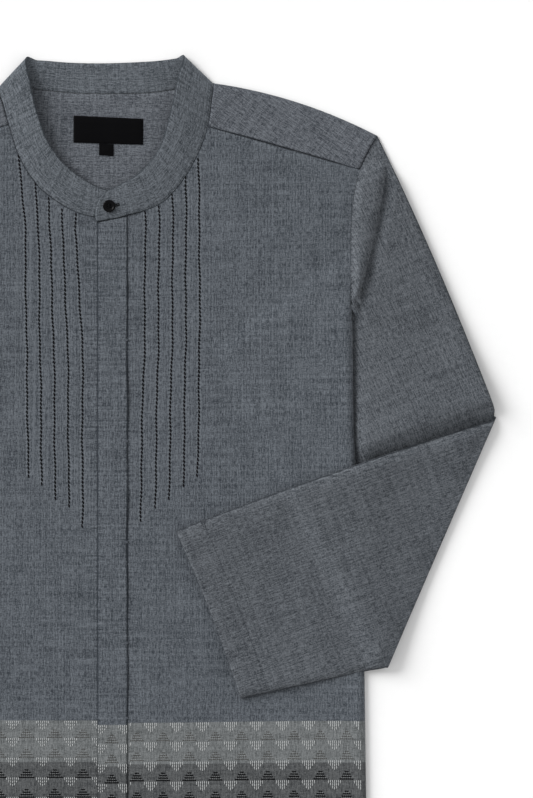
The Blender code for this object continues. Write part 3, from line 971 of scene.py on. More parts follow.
@dataclass(frozen=True)
class SpunThread:
    """Spun cotton or polyester thread: a matt twisted yarn, so it shows fine slanting plies."""

    name: str
    colour: str
    ply: str
    twist: float = 0.6

    def material(self) -> Material:
        """Build the material on Object coordinates, its plies as wide as the twist.

        Returns:
            The finished material.
        """
        made, tree, shader = new_material(
            self.name, {"Roughness": 0.75, "Specular IOR Level": 0.04})
        where = node(tree, "ShaderNodeTexCoord").outputs["Object"]
        wave = node(tree, "ShaderNodeTexWave",
                    {"Vector": where, "Scale": 0.3 / (self.twist * MM), "Distortion": 1.0,
                     "Detail": 1.0},
                    bands_direction="DIAGONAL").outputs["Fac"]
        coloured(tree, shader, wave, self.colour, self.ply)
        embossed(tree, shader, wave, 0.4, 0.05)
        return made


@dataclass(frozen=True)
class PolyesterButton:
    """Cast polyester resin, tumbled to a shine: black with a soft highlight and faint scuffs."""

    name: str = "cast polyester, tumbled black"
    colour: str = "#070708"
    scuff: str = "#0c0c0e"

    def material(self) -> Material:
        """Build the material on Object coordinates, its scuffs about half a millimetre wide.

        Returns:
            The finished material.
        """
        made, tree, shader = new_material(self.name, {"IOR": 1.15})
        where = node(tree, "ShaderNodeTexCoord").outputs["Object"]
        scuffs = node(tree, "ShaderNodeTexNoise",
                      {"Vector": where, "Scale": 1 / (0.5 * MM), "Detail": 3.0}).outputs[0]
        rough = node(tree, "ShaderNodeMapRange", {0: scuffs, 3: 0.12, 4: 0.26})
        tree.links.new(rough.outputs[0], shader.inputs["Roughness"])
        coloured(tree, shader, scuffs, self.colour, self.scuff)
        return made


@dataclass(frozen=True)
class SatinLabel:
    """Woven damask label: black polyester satin, so it shows fine ribs and a faint lustre.

    Its real picks are 0.15 mm apart, and the ribs are drawn at 1 mm so that they show.
    """

    name: str = "damask satin, woven black"
    colour: str = "#030304"
    lustre: str = "#0f0f11"
    rib: float = 1.0

    def material(self) -> Material:
        """Build the material on Object coordinates, its grains about 0.8 mm wide.

        Returns:
            The finished material.
        """
        made, tree, shader = new_material(
            self.name, {"Roughness": 0.6, "Specular IOR Level": 0.03})
        where = node(tree, "ShaderNodeTexCoord").outputs["Object"]
        wave = node(tree, "ShaderNodeTexWave",
                    {"Vector": where, "Scale": 0.314 / (self.rib * MM), "Distortion": 0.6,
                     "Detail": 1.0},
                    bands_direction="Y")
        grain = node(tree, "ShaderNodeTexNoise",
                     {"Vector": where, "Scale": 1 / (0.8 * MM), "Detail": 2.0})
        both = node(tree, MATH, {0: wave.outputs["Fac"], 1: grain.outputs[0]},
                    operation="MULTIPLY").outputs[0]
        coloured(tree, shader, both, self.colour, self.lustre)
        embossed(tree, shader, both, 0.4, 0.1)
        return made


@dataclass(frozen=True)
class PaperSweep:
    """Matt white background paper, with the faint mottle of its fibres."""

    name: str = "matt white paper"
    colour: str = "#e9e9e9"
    mottle: str = "#e6e6e6"

    def material(self) -> Material:
        """Build the material on Object coordinates, its mottle about 8 mm wide.

        Returns:
            The finished material.
        """
        made, tree, shader = new_material(
            self.name, {"Roughness": 0.95, "Specular IOR Level": 0.1})
        where = node(tree, "ShaderNodeTexCoord").outputs["Object"]
        mottle = node(tree, "ShaderNodeTexNoise",
                      {"Vector": where, "Scale": 1 / (8 * MM), "Detail": 2.0}).outputs[0]
        coloured(tree, shader, mottle, self.colour, self.mottle)
        return made


@dataclass(frozen=True)
class Looks:
    """The shirt's finishes, each built once."""

    body: Material
    sleeves: Material
    yoke: Material
    collar: Material
    black_thread: Material
    grey_thread: Material
    white_float: Material
    black_float: Material
    fawn_float: Material
    button: Material
    label: Material

    @classmethod
    def build(cls) -> "Looks":
        """Build every finish."""
        return cls(
            body=Chambray("chambray, woven bands", ground=Ground.BANDED).material(),
            sleeves=Chambray("chambray, sleeves", dark="#292d32", pale="#5c6065").material(),
            yoke=Chambray("chambray, yoke", dark="#2e3238", pale="#64686e").material(),
            collar=Chambray("chambray, collar", dark="#2d3237", pale="#62676d").material(),
            black_thread=SpunThread("spun cotton, black", "#060607", "#121214").material(),
            grey_thread=SpunThread("spun polyester, grey", "#3a3e44", "#5c6066").material(),
            white_float=SpunThread("woven float, pale grey", "#969898", "#b2b4b4").material(),
            black_float=SpunThread("woven float, black", "#060607", "#111113").material(),
            fawn_float=SpunThread("woven float, fawn", "#393734", "#474542").material(),
            button=PolyesterButton().material(),
            label=SatinLabel().material(),
        )


def band_sag(x: Array) -> Array:
    """How far the woven bands rise, or sag below 0, at places across the left front."""
    return -2.2 * smooth(1 - (x - 15) / 215)


@dataclass
class FrontPanel:
    """One front, from the yoke seam to the hem, its side edge rolled over to the back."""

    side: int
    # The columns' spacing where the running stitches are, how far that reaches, and beyond it.
    stitched_step: float = 1.7
    stitched: float = 84.0
    plain_step: float = 3.6
    edge_steps: tuple[float, ...] = (6.5, 4.4, 3.0, 2.0, 1.25, 0.7, 0.3, 0.0)
    # The rows beside the neck, the chest, the belly and the hem, and the levels of the chest.
    rows: tuple[int, int, int, int] = (44, 30, 160, 9)
    chest: Pair = (238.0, 160.0)
    armhole_rows: int = 30
    stitch_dent: float = 0.45
    edge_fall: float = 1.6
    flat: Pair = (0.221, 0.692)
    area: float = 0.1345

    def rails(self) -> tuple[Line, Line]:
        """Find the inner rail, down the neck and front edge, and the outer, down armhole and side.

        Returns:
            Both rails as plan points at +X, row for row.
        """
        last = len(PLAN.collar) - 1
        seam_row = PLAN.collar_yoke_seam[self.side > 0]
        rows = (seam_row, last) if self.side > 0 else (0, seam_row)
        neck = PLAN.neckline(*rows)[:: self.side].copy()
        neck[:, 0] *= self.side
        edge = PLAN.underlap + PLAN.seam if self.side > 0 else -PLAN.underlap
        order = np.argsort(neck[:, 0])
        foot_y = float(np.interp(edge, neck[order, 0], neck[order, 1]))
        neck = np.vstack([neck[neck[:, 0] > edge + 0.5], [edge, foot_y]])
        neck[0, 1] -= PLAN.seam
        armhole = PLAN.front_armhole(60)
        armhole = armhole[armhole[:, 1] < PLAN.yoke_seam_arm[1] - PLAN.seam]
        outer_side = PLAN.side_line(PLAN.armhole_low[1], PLAN.hem_y, 200)
        outer = np.vstack([armhole, outer_side[1:]])
        stops = (outer[0, 1], *self.chest, PLAN.hem_y + PLAN.hem_deep, PLAN.hem_y)
        levels = [np.linspace(top, foot, count)
                  for top, foot, count in zip(stops, stops[1:], self.rows)]
        fronts = [np.linspace(foot_y, self.chest[1], self.rows[1]), *levels[2:]]
        y = np.concatenate([levels[0], *(level[1:] for level in levels[1:])])
        front_y = np.concatenate([level[1:] for level in fronts])
        inner = np.vstack([resampled(neck, self.rows[0]),
                           np.column_stack([np.full(len(front_y), edge), front_y])])
        return inner, np.column_stack([np.interp(-y, -outer[:, 1], outer[:, 0]), y])

    def shares(self, width: float) -> Array:
        """Lay the columns across, close together where the running stitches are.

        Args:
            width: The panel's width.

        Returns:
            Their shares across, from 0 to 1.
        """
        stitched = np.arange(0, self.stitched, self.stitched_step)
        plain = np.arange(self.stitched, width - 8, self.plain_step)
        edge = width - np.array(self.edge_steps)
        return np.concatenate([stitched, plain, edge]) / width

    def build(self, looks: Looks) -> Object:
        """Build the panel.

        Args:
            looks: The shirt's finishes.

        Returns:
            The finished piece.
        """
        inner, outer = self.rails()
        shares = self.shares(outer[-1, 0] - inner[-1, 0])
        grid = inner[:, None] + (outer - inner)[:, None] * shares[None, :, None]
        grid[..., 0] *= self.side
        x, y = grid[..., 0], grid[..., 1]
        z = LIE.front(x, y, PLAN.high)
        stitches = np.full(x.shape + (2,), 9.0)
        for line in STITCH_LINES:
            if line[0] * self.side > 0:
                path = stitch_path(line)
                length = STITCH_PITCH * round(passed(path)[-1] / STITCH_PITCH)
                across = x - np.interp(-y, -path[:, 1], path[:, 0])
                along = np.interp(-y, -path[:, 1], np.linspace(0, length, len(path)))
                inside = smooth((path[0, 1] - y) / 4) * smooth((y - path[-1, 1]) / 4)
                z = z - self.stitch_dent * np.exp(-((across / 2.0) ** 2)) * inside
                across = np.where(inside > 0, across, 9.0)
                closer = np.abs(across) < np.abs(stitches[..., 0])
                stitches[closer] = np.stack([across, along], axis=-1)[closer]
        inset = PLAN.side_x(y) - np.abs(x)
        corner = np.clip(1 - inset / self.edge_fall, 0, 1)
        drop = (PLAN.high - PLAN.low - 0.5 + LIE.body(x, y)) * (1 - np.sqrt(1 - corner**2))
        z = z - drop * smooth((PLAN.armhole_low[1] - 22 - y) / 12)
        weave = np.stack([x, y - (band_sag(x) if self.side > 0 else 0.0)], axis=-1)
        neck, armhole = inner[: self.rows[0] + 1], outer[: self.armhole_rows]
        seams = [resampled(neck * (self.side, 1), 60), resampled(armhole * (self.side, 1), 40),
                 grid[0], grid[-self.rows[-1]]]
        measured = nearest(grid.reshape(-1, 2), seams).reshape(grid.shape)
        # Painted shade lines beside the placket's edges: the fronts measure their distance from
        # the edge, and on the left front the line fades out near the top.
        fly = PLAN.fly_shade_scale * (x - PLAN.placket[self.side > 0])
        fly = fly * (1 + 3 * smooth((y - 190) / 16) * (self.side > 0))
        beside = np.abs(fly) < measured[..., 1]
        measured[beside] = np.stack([y, fly], axis=-1)[beside]
        cloth = ClothMesh("front_left_cloth" if self.side > 0 else "front_right_cloth")
        cloth.add(np.dstack([x, y, z]), weave, measured, stitches)
        piece = cloth.make(looks.body)
        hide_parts("front_left" if self.side > 0 else "front_right")
        return piece


@dataclass
class BackPanel:
    """The back, from its yoke seam to the hem, notched where the sleeves pass under it."""

    columns: int = 60
    notch_columns: int = 26
    armhole_rows: int = 40
    side_rows: int = 130
    level: float = 0.3
    lift: float = 0.2
    hem_reach: float = 230.0
    flat: Pair = (0.463, 0.624)
    area: float = 0.259

    def build(self, looks: Looks) -> Object:
        """Build the panel in two grids that share the level of the armpits.

        Args:
            looks: The shirt's finishes.

        Returns:
            The finished piece.
        """
        armhole = PLAN.back_armhole(np.linspace(0, 1, 120), -PLAN.seam)
        armhole = armhole[armhole[:, 1] < PLAN.back_yoke_seam_y - PLAN.seam]
        armhole[-1] = PLAN.armpit
        right = resampled(armhole, self.armhole_rows)
        left = right * (-1, 1)
        top = np.linspace(left[0], right[0], self.columns)
        armpits = np.linspace(left[-1], right[-1], self.columns)
        upper = patch(top, armpits, left, right)
        notch = np.linspace(PLAN.armpit, PLAN.armhole_low, self.notch_columns)
        line = np.vstack([notch[::-1][:-1] * (-1, 1), armpits, notch[1:]])
        side = PLAN.side_line(PLAN.armhole_low[1], PLAN.hem_y, self.side_rows)
        foot = np.column_stack([line[:, 0] * side[-1, 0] / line[-1, 0],
                                np.full(len(line), PLAN.hem_y)])
        lower = patch(line, foot, side * (-1, 1), side)
        hem = np.array([(end * self.hem_reach, PLAN.hem_y + PLAN.hem_deep) for end in (-1, 1)])
        cloth = ClothMesh("back_cloth")
        for grid in (upper, lower):
            lift = LIE.over_sleeve(grid[..., 0], grid[..., 1])
            z = self.level + (PLAN.sleeve_lift + self.lift) * lift
            cloth.add(np.dstack([grid, z]), grid, [top, right, left, hem])
        piece = cloth.make(looks.body)
        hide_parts("back")
        return piece


@dataclass
class Yoke:
    """The yoke: one piece that lies under at the back and folds over both shoulders."""

    shoulder_count: int = 52
    neck_count: int = 60
    rows: int = 22
    fold_steps: int = 8
    # How far below the shoulder's fold its soft puff ends.
    puffed: float = 40.0
    flat: Pair = (0.482, 0.24)
    area: float = 0.0557

    def build(self, looks: Looks) -> Object:
        """Build the yoke.

        Args:
            looks: The shirt's finishes.

        Returns:
            The finished piece.
        """
        shoulders = {side: PLAN.shoulder_line(side, self.shoulder_count) for side in (1, -1)}
        first, last = PLAN.collar_fold
        neck = resampled(PLAN.neckline(first + 1, last - 1), self.neck_count)
        top = np.vstack([shoulders[-1][::-1] * (-1, 1), neck, shoulders[1]])
        arm = PLAN.back_armhole(np.linspace(0, 1, 160), -PLAN.seam)
        arm = arm[arm[:, 1] > PLAN.back_yoke_seam_y]
        arm[0] = shoulders[1][-1]
        right = resampled(np.vstack([arm, [arm[-1, 0], PLAN.back_yoke_seam_y]]), self.rows)
        left = right * (-1, 1)
        left[0] = top[0]
        foot = np.column_stack([top[:, 0] * right[-1, 0] / top[-1, 0],
                                np.full(len(top), PLAN.back_yoke_seam_y)])
        foot[0], foot[-1] = left[-1], right[-1]
        back = patch(top, foot, left, right)
        cloth = ClothMesh("yoke_cloth")
        seams = [neck, foot[[0, -1]]]
        flat = np.full(back.shape[:2], PLAN.low)
        # The back's measures are pushed half a millimetre off, so the painted shade line along its
        # seams is fainter.
        measured = nearest(back.reshape(-1, 2), seams).reshape(back.shape) + (0, 0.5)
        cloth.add(np.dstack([back[..., 0], back[..., 1], flat]), back[..., ::-1], measured)
        for side in (1, -1):
            self.add_front(cloth, shoulders[side], side)
        piece = cloth.make(looks.yoke)
        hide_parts("yoke")
        return piece

    def add_front(self, cloth: ClothMesh, shoulder: Line, side: int) -> None:
        """Add a shoulder's fold and the front half beyond it.

        Args:
            cloth: The sheet that takes them.
            shoulder: The fold's line at +X, from the neck to the tip.
            side: 1 for the left shoulder and -1 for the right.
        """
        way = np.gradient(shoulder, axis=0)
        out = -np.column_stack([way[:, 1], -way[:, 0]]) / np.hypot(*way.T)[:, None]
        radius = (PLAN.high - PLAN.low) / 2
        rows = []
        for angle in np.linspace(0, math.pi, self.fold_steps + 1):
            row = shoulder + out * (radius * math.sin(angle))
            level = np.full(len(row), PLAN.low + radius * (1 - math.cos(angle)))
            rows.append(np.column_stack([row[:, 0] * side, row[:, 1], level]))
        fold = np.array(rows)
        fold_seam, yoke_seam = PLAN.collar_fold[side > 0], PLAN.collar_yoke_seam[side > 0]
        neck = PLAN.neckline(min(fold_seam, yoke_seam), max(fold_seam, yoke_seam))
        neck = neck[::side] * (side, 1)
        neck = np.vstack([shoulder[0], neck[3:]])
        armhole = PLAN.front_armhole(60)
        armhole = np.vstack([shoulder[-1], armhole[armhole[:, 1] > PLAN.yoke_seam_arm[1]][2:],
                             PLAN.yoke_seam_arm])
        neck, armhole = resampled(neck, self.rows), resampled(armhole, self.rows)
        foot = bowed(neck[-1], armhole[-1], 1.0, np.linspace(0, 1, len(shoulder)))
        front = patch(shoulder, foot, neck, armhole)
        x, y = front[..., 0] * side, front[..., 1]
        inset = np.linspace(0, 1, self.rows)[:, None] * self.puffed
        left = self.puffed - inset
        puff = 0.45 * smooth(inset / 6) * np.exp(-inset / self.puffed) * smooth(left / 10)
        rim = 0.3 * rounded(inset, 8) * faded(inset, 0, 22) * smooth(left / 12)
        z = PLAN.high + LIE.body(x, y) * smooth(inset / 8) + puff + rim
        seams = [neck * (side, 1), armhole * (side, 1), foot * (side, 1)]
        # The weave runs on over the fold, as if the front half were turned back.
        start, tip = PLAN.neck_point(side) * (side, 1), PLAN.shoulder_tip * np.array((side, 1))
        unfolded = mirrored(np.dstack([x, y]), start, -turned(tip - start))
        cloth.add(fold, fold[..., 1::-1], seams)
        cloth.add(np.dstack([x, y, z]), unfolded[..., ::-1], seams)


@dataclass
class Placket:
    """The strip down the front opening, its fly stitched down on its right edge."""

    columns: int = 17
    rows: int = 300
    # How many rows of the collar table pass over the placket's top.
    collar_rows: int = 4
    wall: float = 0.4
    flat: Pair = (0.0267, 0.606)
    area: float = 0.01615

    def build(self, looks: Looks) -> Object:
        """Build the strip.

        Args:
            looks: The shirt's finishes.

        Returns:
            The finished piece.
        """
        last = len(PLAN.collar) - 1
        seam = PLAN.neckline(last - self.collar_rows, last)
        order = np.argsort(seam[:, 0])
        x_top = np.linspace(*PLAN.placket, self.columns)
        top = np.column_stack([x_top, np.interp(x_top, seam[order, 0], seam[order, 1])])
        rows = np.linspace(0, 1, self.rows)[:, None, None]
        foot = np.column_stack([x_top, np.full(self.columns, PLAN.hem_y)])
        grid = top[None] * (1 - rows) + foot[None] * rows
        x, y = grid[..., 0].copy(), grid[..., 1]
        across = (x - PLAN.placket[0]) / (PLAN.placket[1] - PLAN.placket[0])
        sway = 0.35 * np.sin(y / 31.0) + 0.25 * np.sin(y / 13.0 + 1)
        z = LIE.placket(x, y)
        x += sway * across * smooth((240 - y) / 30)
        weave = np.stack([x, y + 3.9], axis=-1)
        # Distance from each edge, for the painted shade lines along both of the placket's edges.
        edge = PLAN.fly_shade_scale * np.minimum(across, 1 - across) * np.ptp(PLAN.placket)
        measured = np.stack([y, np.minimum(edge, top[:, 1] - y)], axis=-1)
        cloth = ClothMesh("placket_cloth")
        cloth.add(np.dstack([x, y, z]), weave, measured)
        piece = cloth.make(looks.body, self.wall)
        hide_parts("placket")
        return piece


@dataclass
class StandCollar:
    """The stand collar: one band from its under end, round the back, to its buttoned end."""

    across: int = 14
    steps: int = 8
    end_bow: float = 4.0
    # How much higher the top edge stands in the looks than in the CAD, and the band's puff.
    rise: float = 0.55
    puff: float = 0.5
    wall: float = 0.75
    flat: Pair = (0.525, 0.034)
    area: float = 0.0162

    def build(self, looks: Looks) -> Object:
        """Build the band.

        Args:
            looks: The shirt's finishes.

        Returns:
            The finished piece.
        """
        rows = PLAN.collar_rows(0, len(PLAN.collar) - 1, self.steps)
        rows[:, 5] += self.rise * np.maximum(rows[:, 5] - PLAN.high, 0)
        seam, top = rows[:, None, :3], rows[:, None, 3:]
        shares = np.linspace(0, 1, self.across)[None, :, None]
        band = seam + (top - seam) * shares
        way = rows[-1, 3:5] - rows[-1, :2]
        ends = np.exp(-((np.arange(len(rows)) - len(rows) + 1) / 5.0) ** 2)[:, None]
        bow = -self.end_bow * hump(shares[0, :, 0])
        band[..., :2] += (ends * bow)[..., None] * turned(way)
        x, y, z = band[..., 0], band[..., 1], band[..., 2]
        weight = np.clip((z - PLAN.low) / (PLAN.high - PLAN.low), 0, 1)
        puff = self.puff * hump(shares[..., 0]) * weight
        z = z + LIE.body(x, y) * weight + puff
        along = passed(rows)
        wide = np.hypot(*(rows[:, 3:5] - rows[:, :2]).T)
        weave = np.stack([wide[:, None] * shares[..., 0],
                          np.repeat(along[:, None], self.across, 1)], axis=-1)
        # The painted shade line hardly shows along the back neck seam, and the top edge in front
        # gets a dark painted shade line.
        back = smooth((PLAN.high - rows[:, 2]) / 0.6)[:, None]
        low_gap = shares[..., 0] * wide[:, None] + 0.6 * back
        gap = np.minimum(low_gap, (1 - shares[..., 0]) * wide[:, None] * (0.45 + 0.55 * back))
        end_gap = np.minimum(along[:, None], (along[-1] - along)[:, None])
        measured = np.stack([weave[..., 1], np.minimum(gap, end_gap)], axis=-1)
        cloth = ClothMesh("collar_cloth")
        cloth.add(np.dstack([x, y, z]), weave, measured)
        piece = cloth.make(looks.collar, self.wall)
        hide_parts("collar")
        return piece


class ArmLay(Enum):
    """How a sleeve lies."""

    FOLDED = "folded"
    STRAIGHT = "straight"


@dataclass
class Sleeve:
    """A sleeve: a flat tube from the armhole to the cuff, folded at the elbow or laid straight."""

    lay: ArmLay
    edge_gaps: tuple[float, ...] = (0.0, 0.5, 1.1, 1.9, 2.9, 4.1, 5.6, 7.4, 9.6, 12.4)
    width: float = 250.0
    columns: tuple[int, int] = (54, 22)
    head_share: float = 0.42
    head_rings: int = 66
    arm_rings: int = 28
    turn_rings: int = 11
    forearm_rings: int = 72
    edge_steps: int = 5
    fold_level: float = 2.45
    fold_radius: float = 1.56
    fold_inset: float = 6.5
    cuff_hem: float = 25.5
    pressed_width: float = 230.0
    armhole_points: int = 200
    under_points: int = 60
    flat: Pair = (0.482, 0.572)
    area: float = 0.1905

    def __post_init__(self) -> None:
        """Work out the sleeve's corners, directions and armhole ring at +X."""
        self.tip, self.elbow = np.array(PLAN.shoulder_tip), np.array(PLAN.elbow_over)
        self.armpit, self.under_elbow = np.array(PLAN.armpit), np.array(PLAN.elbow_under)
        self.cuff, self.under_cuff = np.array(PLAN.cuff_over), np.array(PLAN.cuff_under)
        self.edge = (PLAN.high - PLAN.low) / 2 + 0.3
        self.out = -turned(self.elbow - self.tip)
        self.under_out = turned(self.under_elbow - self.armpit)
        self.inward = -turned(self.tip - self.elbow)
        self.fold_out = turned(self.elbow - self.under_elbow)
        self.folded = self.lay is ArmLay.FOLDED
        self.upper, self.lower, self.shares = self.cap()

    def cap(self) -> tuple[Line, Line, Array]:
        """Find the armhole ring.

        Returns:
            Its upper layer, its lower layer, and each point's share across.
        """
        line = self.armhole()
        whole = (self.armpit - self.tip) @ self.inward
        known = np.clip((line - self.tip) @ self.inward / whole, 0, 1)
        known[0], known[-1] = 0.0, 1.0
        known = np.maximum.accumulate(known)
        near = np.array(self.edge_gaps) / self.width
        head = np.linspace(near[-1], 0.5, self.columns[0])[1:]
        under = np.linspace(0.5, 1 - near[-1], self.columns[1])[1:-1]
        low = known[self.armhole_points - 1]
        shares = np.unique(np.concatenate([near, head, under, 1 - near, [low]]))
        upper = np.column_stack([np.interp(shares, known, column) for column in line.T])
        return upper, PLAN.back_armhole(shares, PLAN.seam), shares

    def armhole(self) -> Line:
        """The sleeve's side of the armhole seam above, down to the armpit."""
        under = np.linspace(PLAN.armhole_low, PLAN.armpit, self.under_points)
        return np.vstack([PLAN.front_armhole(self.armhole_points, PLAN.seam), under[1:]])

    def ring(self, upper: Line, lower: Line, over_out: Line, under_out: Line) -> Ring:
        """One ring of the flat tube, from the middle of its underarm edge round and back.

        Args:
            upper: The upper layer's points, from the outer edge to the underarm.
            lower: The lower layer's points, the same way.
            over_out: The way out at the outer edge.
            under_out: The way out at the underarm.

        Returns:
            The plan points and their levels.
        """
        radius = (PLAN.high - PLAN.low) / 2
        quarter = np.linspace(0, math.pi / 2, self.edge_steps + 1)
        whole = np.linspace(math.pi / 2, -math.pi / 2, 2 * self.edge_steps + 1)[1:-1]
        rising, falling = quarter[:-1], quarter[:0:-1]
        points = np.vstack([
            upper[-1] + under_out * radius * np.cos(rising[:, None]), upper[::-1],
            upper[0] + over_out * radius * np.cos(whole[:, None]), lower,
            upper[-1] + under_out * radius * np.cos(falling[:, None]),
        ])
        heights = np.concatenate([np.sin(rising), np.ones(len(upper)), np.sin(whole),
                                  -np.ones(len(lower)), -np.sin(falling)])
        return points, PLAN.low + radius * (1 + heights)

    def flat_ring(self, over: Array, under: Array, outs: tuple[Line, Line],
                  arch: Line | float = 0.0) -> Ring:
        """One ring whose two layers lie on each other.

        Args:
            over: The plan point at the outer edge.
            under: The plan point at the underarm.
            outs: The ways out at the outer edge and at the underarm.
            arch: How far the points are moved along the sleeve.

        Returns:
            The plan points and their levels.
        """
        row = over + (under - over) * self.shares[:, None] + arch
        return self.ring(row, row, *outs)

    def across(self) -> tuple[Array, Array]:
        """Each ring point's share from the outer edge, and how much it belongs to the upper layer.

        Returns:
            Both with a closing column. The shares are below 0 on the lower layer.
        """
        steps, shares = self.edge_steps, self.shares
        far = np.concatenate([np.ones(steps), shares[::-1], np.zeros(2 * steps - 1), -shares,
                              -np.ones(steps + 1)])
        upper = np.concatenate([
            np.linspace(0.5, 1, steps, endpoint=False), np.ones(len(shares)),
            np.linspace(1, 0, 2 * steps + 1)[1:-1], np.zeros(len(shares)),
            np.linspace(0, 0.5, steps + 1)[1:], [0.5],
        ])
        return far, upper

    def upper_arm(self) -> list[Ring]:
        """Lay the rings from the armhole to the elbow.

        Returns:
            The rings.
        """
        upper, lower, across = self.upper, self.lower, self.shares[:, None]
        over_way = (self.elbow - self.tip) / np.hypot(*(self.elbow - self.tip))
        under_way = (self.under_elbow - self.armpit) / np.hypot(*(self.under_elbow - self.armpit))
        upper[0] += (over_way - self.out) * self.edge
        upper[-1] += (under_way - self.under_out) * self.edge
        lower[0], lower[-1] = upper[0], upper[-1]
        known = np.array([(self.head_share, 0.04), (0.62, 0.34), (0.82, 0.68), (1.0, 1.0)])

        def straight(outer: float) -> Line:
            """Lay one layer across the arm.

            Args:
                outer: How far down the outer edge, from 0 to 1.

            Returns:
                The layer's points.
            """
            inner = np.interp(outer, known[:, 0], known[:, 1])
            over = bowed(self.tip, self.elbow, 3.5, np.array([outer]))[0] - self.out * self.edge
            under = self.armpit + (self.under_elbow - self.armpit) * inner
            under = under - self.under_out * self.edge
            return over + (under - over) * across

        first = straight(self.head_share)
        rings = []
        for outer in np.linspace(0, self.head_share, self.head_rings)[:-1]:
            share = outer / self.head_share
            chord = upper[0] + (first[0] - upper[0]) * share
            lean = (straight(outer)[0] - chord) * (1 - across) ** 2
            over = upper + (first - upper) * share + lean
            under = lower + (first - lower) * share + lean
            rings.append(self.ring(over, under, self.out, self.under_out))
        for outer in np.linspace(self.head_share, 1, self.arm_rings):
            row = straight(outer)
            rings.append(self.ring(row, row, self.out, self.under_out))
        return rings

    def straight_forearm(self) -> list[Ring]:
        """Lay the rings past the elbow of a sleeve that is laid straight.

        Returns:
            The rings, at +X.
        """
        cuffs = np.array([self.cuff, self.under_cuff])
        cuff, under_cuff = mirrored(cuffs, self.elbow, self.fold_out)
        out, under_out = -turned(cuff - self.elbow), turned(under_cuff - self.under_elbow)
        rings = []
        for share in np.linspace(0, 1, self.forearm_rings):
            over = self.elbow + (cuff - self.elbow) * share - out * self.edge
            under = self.under_elbow + (under_cuff - self.under_elbow) * share
            under = under - under_out * self.edge
            rings.append(self.flat_ring(over, under, (out, under_out)))
        return rings

    def folded_forearm(self) -> tuple[list[Ring], list[float]]:
        """Lay the rings round the elbow's fold and back over the body.

        Returns:
            The rings, and how far each has turned.
        """
        way = (self.elbow - self.under_elbow) / np.hypot(*(self.elbow - self.under_elbow))
        corner = self.elbow - self.fold_out * self.fold_level
        under = self.under_elbow + way * (2 * self.edge) - self.fold_out * self.fold_level
        rings, turns = [], list(np.linspace(0, math.pi, self.turn_rings))
        for turn in turns:
            inset = (self.fold_inset - 2 * self.edge) * smooth(2 * turn / math.pi - 1)
            over = corner - way * (2 * self.edge + inset)
            rings.append(self.flat_ring(over, under, (way, -way)))
        top_out, low_out = turned(self.cuff - over), -turned(self.under_cuff - under)
        cuff, under_cuff = self.cuff - top_out * self.edge, self.under_cuff - low_out * self.edge
        back = (over - cuff) / np.hypot(*(over - cuff))
        for share in np.linspace(0, 1, self.forearm_rings)[1:]:
            start = bowed(over, cuff, -3.0, np.array([share]))[0]
            end = under + (under_cuff - under) * share
            arch = back * (2.2 * share * hump(self.shares))[:, None]
            rings.append(self.flat_ring(start, end, (top_out, low_out), arch))
            turns.append(math.pi)
        return rings, turns

    def build(self, looks: Looks) -> Object:
        """Build the sleeve.

        Args:
            looks: The shirt's finishes.

        Returns:
            The finished piece.
        """
        rings = self.upper_arm()[:-1]
        if self.folded:
            after, after_turns = self.folded_forearm()
        else:
            after, after_turns = self.straight_forearm(), [0.0] * self.forearm_rings
        turns = np.array([0.0] * len(rings) + after_turns)
        rings += after
        rows = np.array([ring[0] for ring in rings])
        radius = self.fold_level - np.array([ring[1] for ring in rings])
        points = rows + self.fold_out * (radius * np.sin(turns)[:, None])[..., None]
        z = self.fold_level - radius * np.cos(turns)[:, None]
        z = self.laid(points, z, turns)
        far = self.across()[0]
        unfolded = mirrored(rows, self.elbow, self.fold_out)
        flat = np.where((turns > math.pi - NO_TURN)[:, None, None], unfolded, rows)
        round_fold = turns * (turns < math.pi - NO_TURN) * self.fold_radius
        flat = flat + self.fold_out * round_fold[:, None, None]
        flat = np.concatenate([flat, flat[:, :1]], axis=1) - self.tip
        sign = np.where(far < 0, -1.0, 1.0)
        weave = np.stack([flat @ self.inward * sign, flat @ -turned(self.inward)], axis=-1)
        measured = self.seam_measures(rows, turns, far)
        side = 1 if self.folded else -1
        cloth = ClothMesh("sleeve_left_cloth" if self.folded else "sleeve_right_cloth")
        cloth.add(np.dstack([points[..., 0] * side, points[..., 1], z]), weave, measured)
        piece = cloth.make(looks.sleeves)
        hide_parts("sleeve_left" if self.folded else "sleeve_right")
        return piece

    def seam_measures(self, rows: Grid, turns: Array, far: Array) -> Grid:
        """How far along and how far from the nearest seam, cuff hem or pressed edge each point is.

        Args:
            rows: The rings' plan points before the fold lifts them.
            turns: How far each ring has gone round the fold.
            far: Each point's share from the outer edge.

        Returns:
            Both measures, with a closing column. A hem's distance is signed.
        """
        rows = np.concatenate([rows, rows[:, :1]], axis=1)
        shape = rows.shape[:2]
        seam = nearest(rows.reshape(-1, 2), [self.armhole()[::4]]).reshape(*shape, 2)
        seam[turns > NO_TURN, :, 1] = OUT_OF_REACH
        count = int((far[self.edge_steps :] >= 0).sum()) - self.edge_steps * 2
        line = [resampled(rows[-1][self.edge_steps : self.edge_steps + count], 14)]
        end = nearest(rows.reshape(-1, 2), line).reshape(*shape, 2)
        if self.folded:
            end[turns < math.pi - NO_TURN, :, 1] = OUT_OF_REACH
        hem = end[..., 1] - self.cuff_hem
        pressed = np.minimum(np.abs(far), 1 - np.abs(far))[None] * self.pressed_width + 0 * hem
        # The material paints a thin shade line along the nearest armhole seam, cuff end, cuff hem
        # or pressed edge.
        best = seam.copy()
        for gap, along in ((end[..., 1] + 0.3, end[..., 0]), (2.5 * hem, end[..., 0]),
                           (np.maximum(pressed - 0.3, 0.3), rows[..., 1])):
            closer = np.abs(gap) < np.abs(best[..., 1])
            best[..., 1] = np.where(closer, gap, best[..., 1])
            best[..., 0] = np.where(closer, along, best[..., 0])
        return best

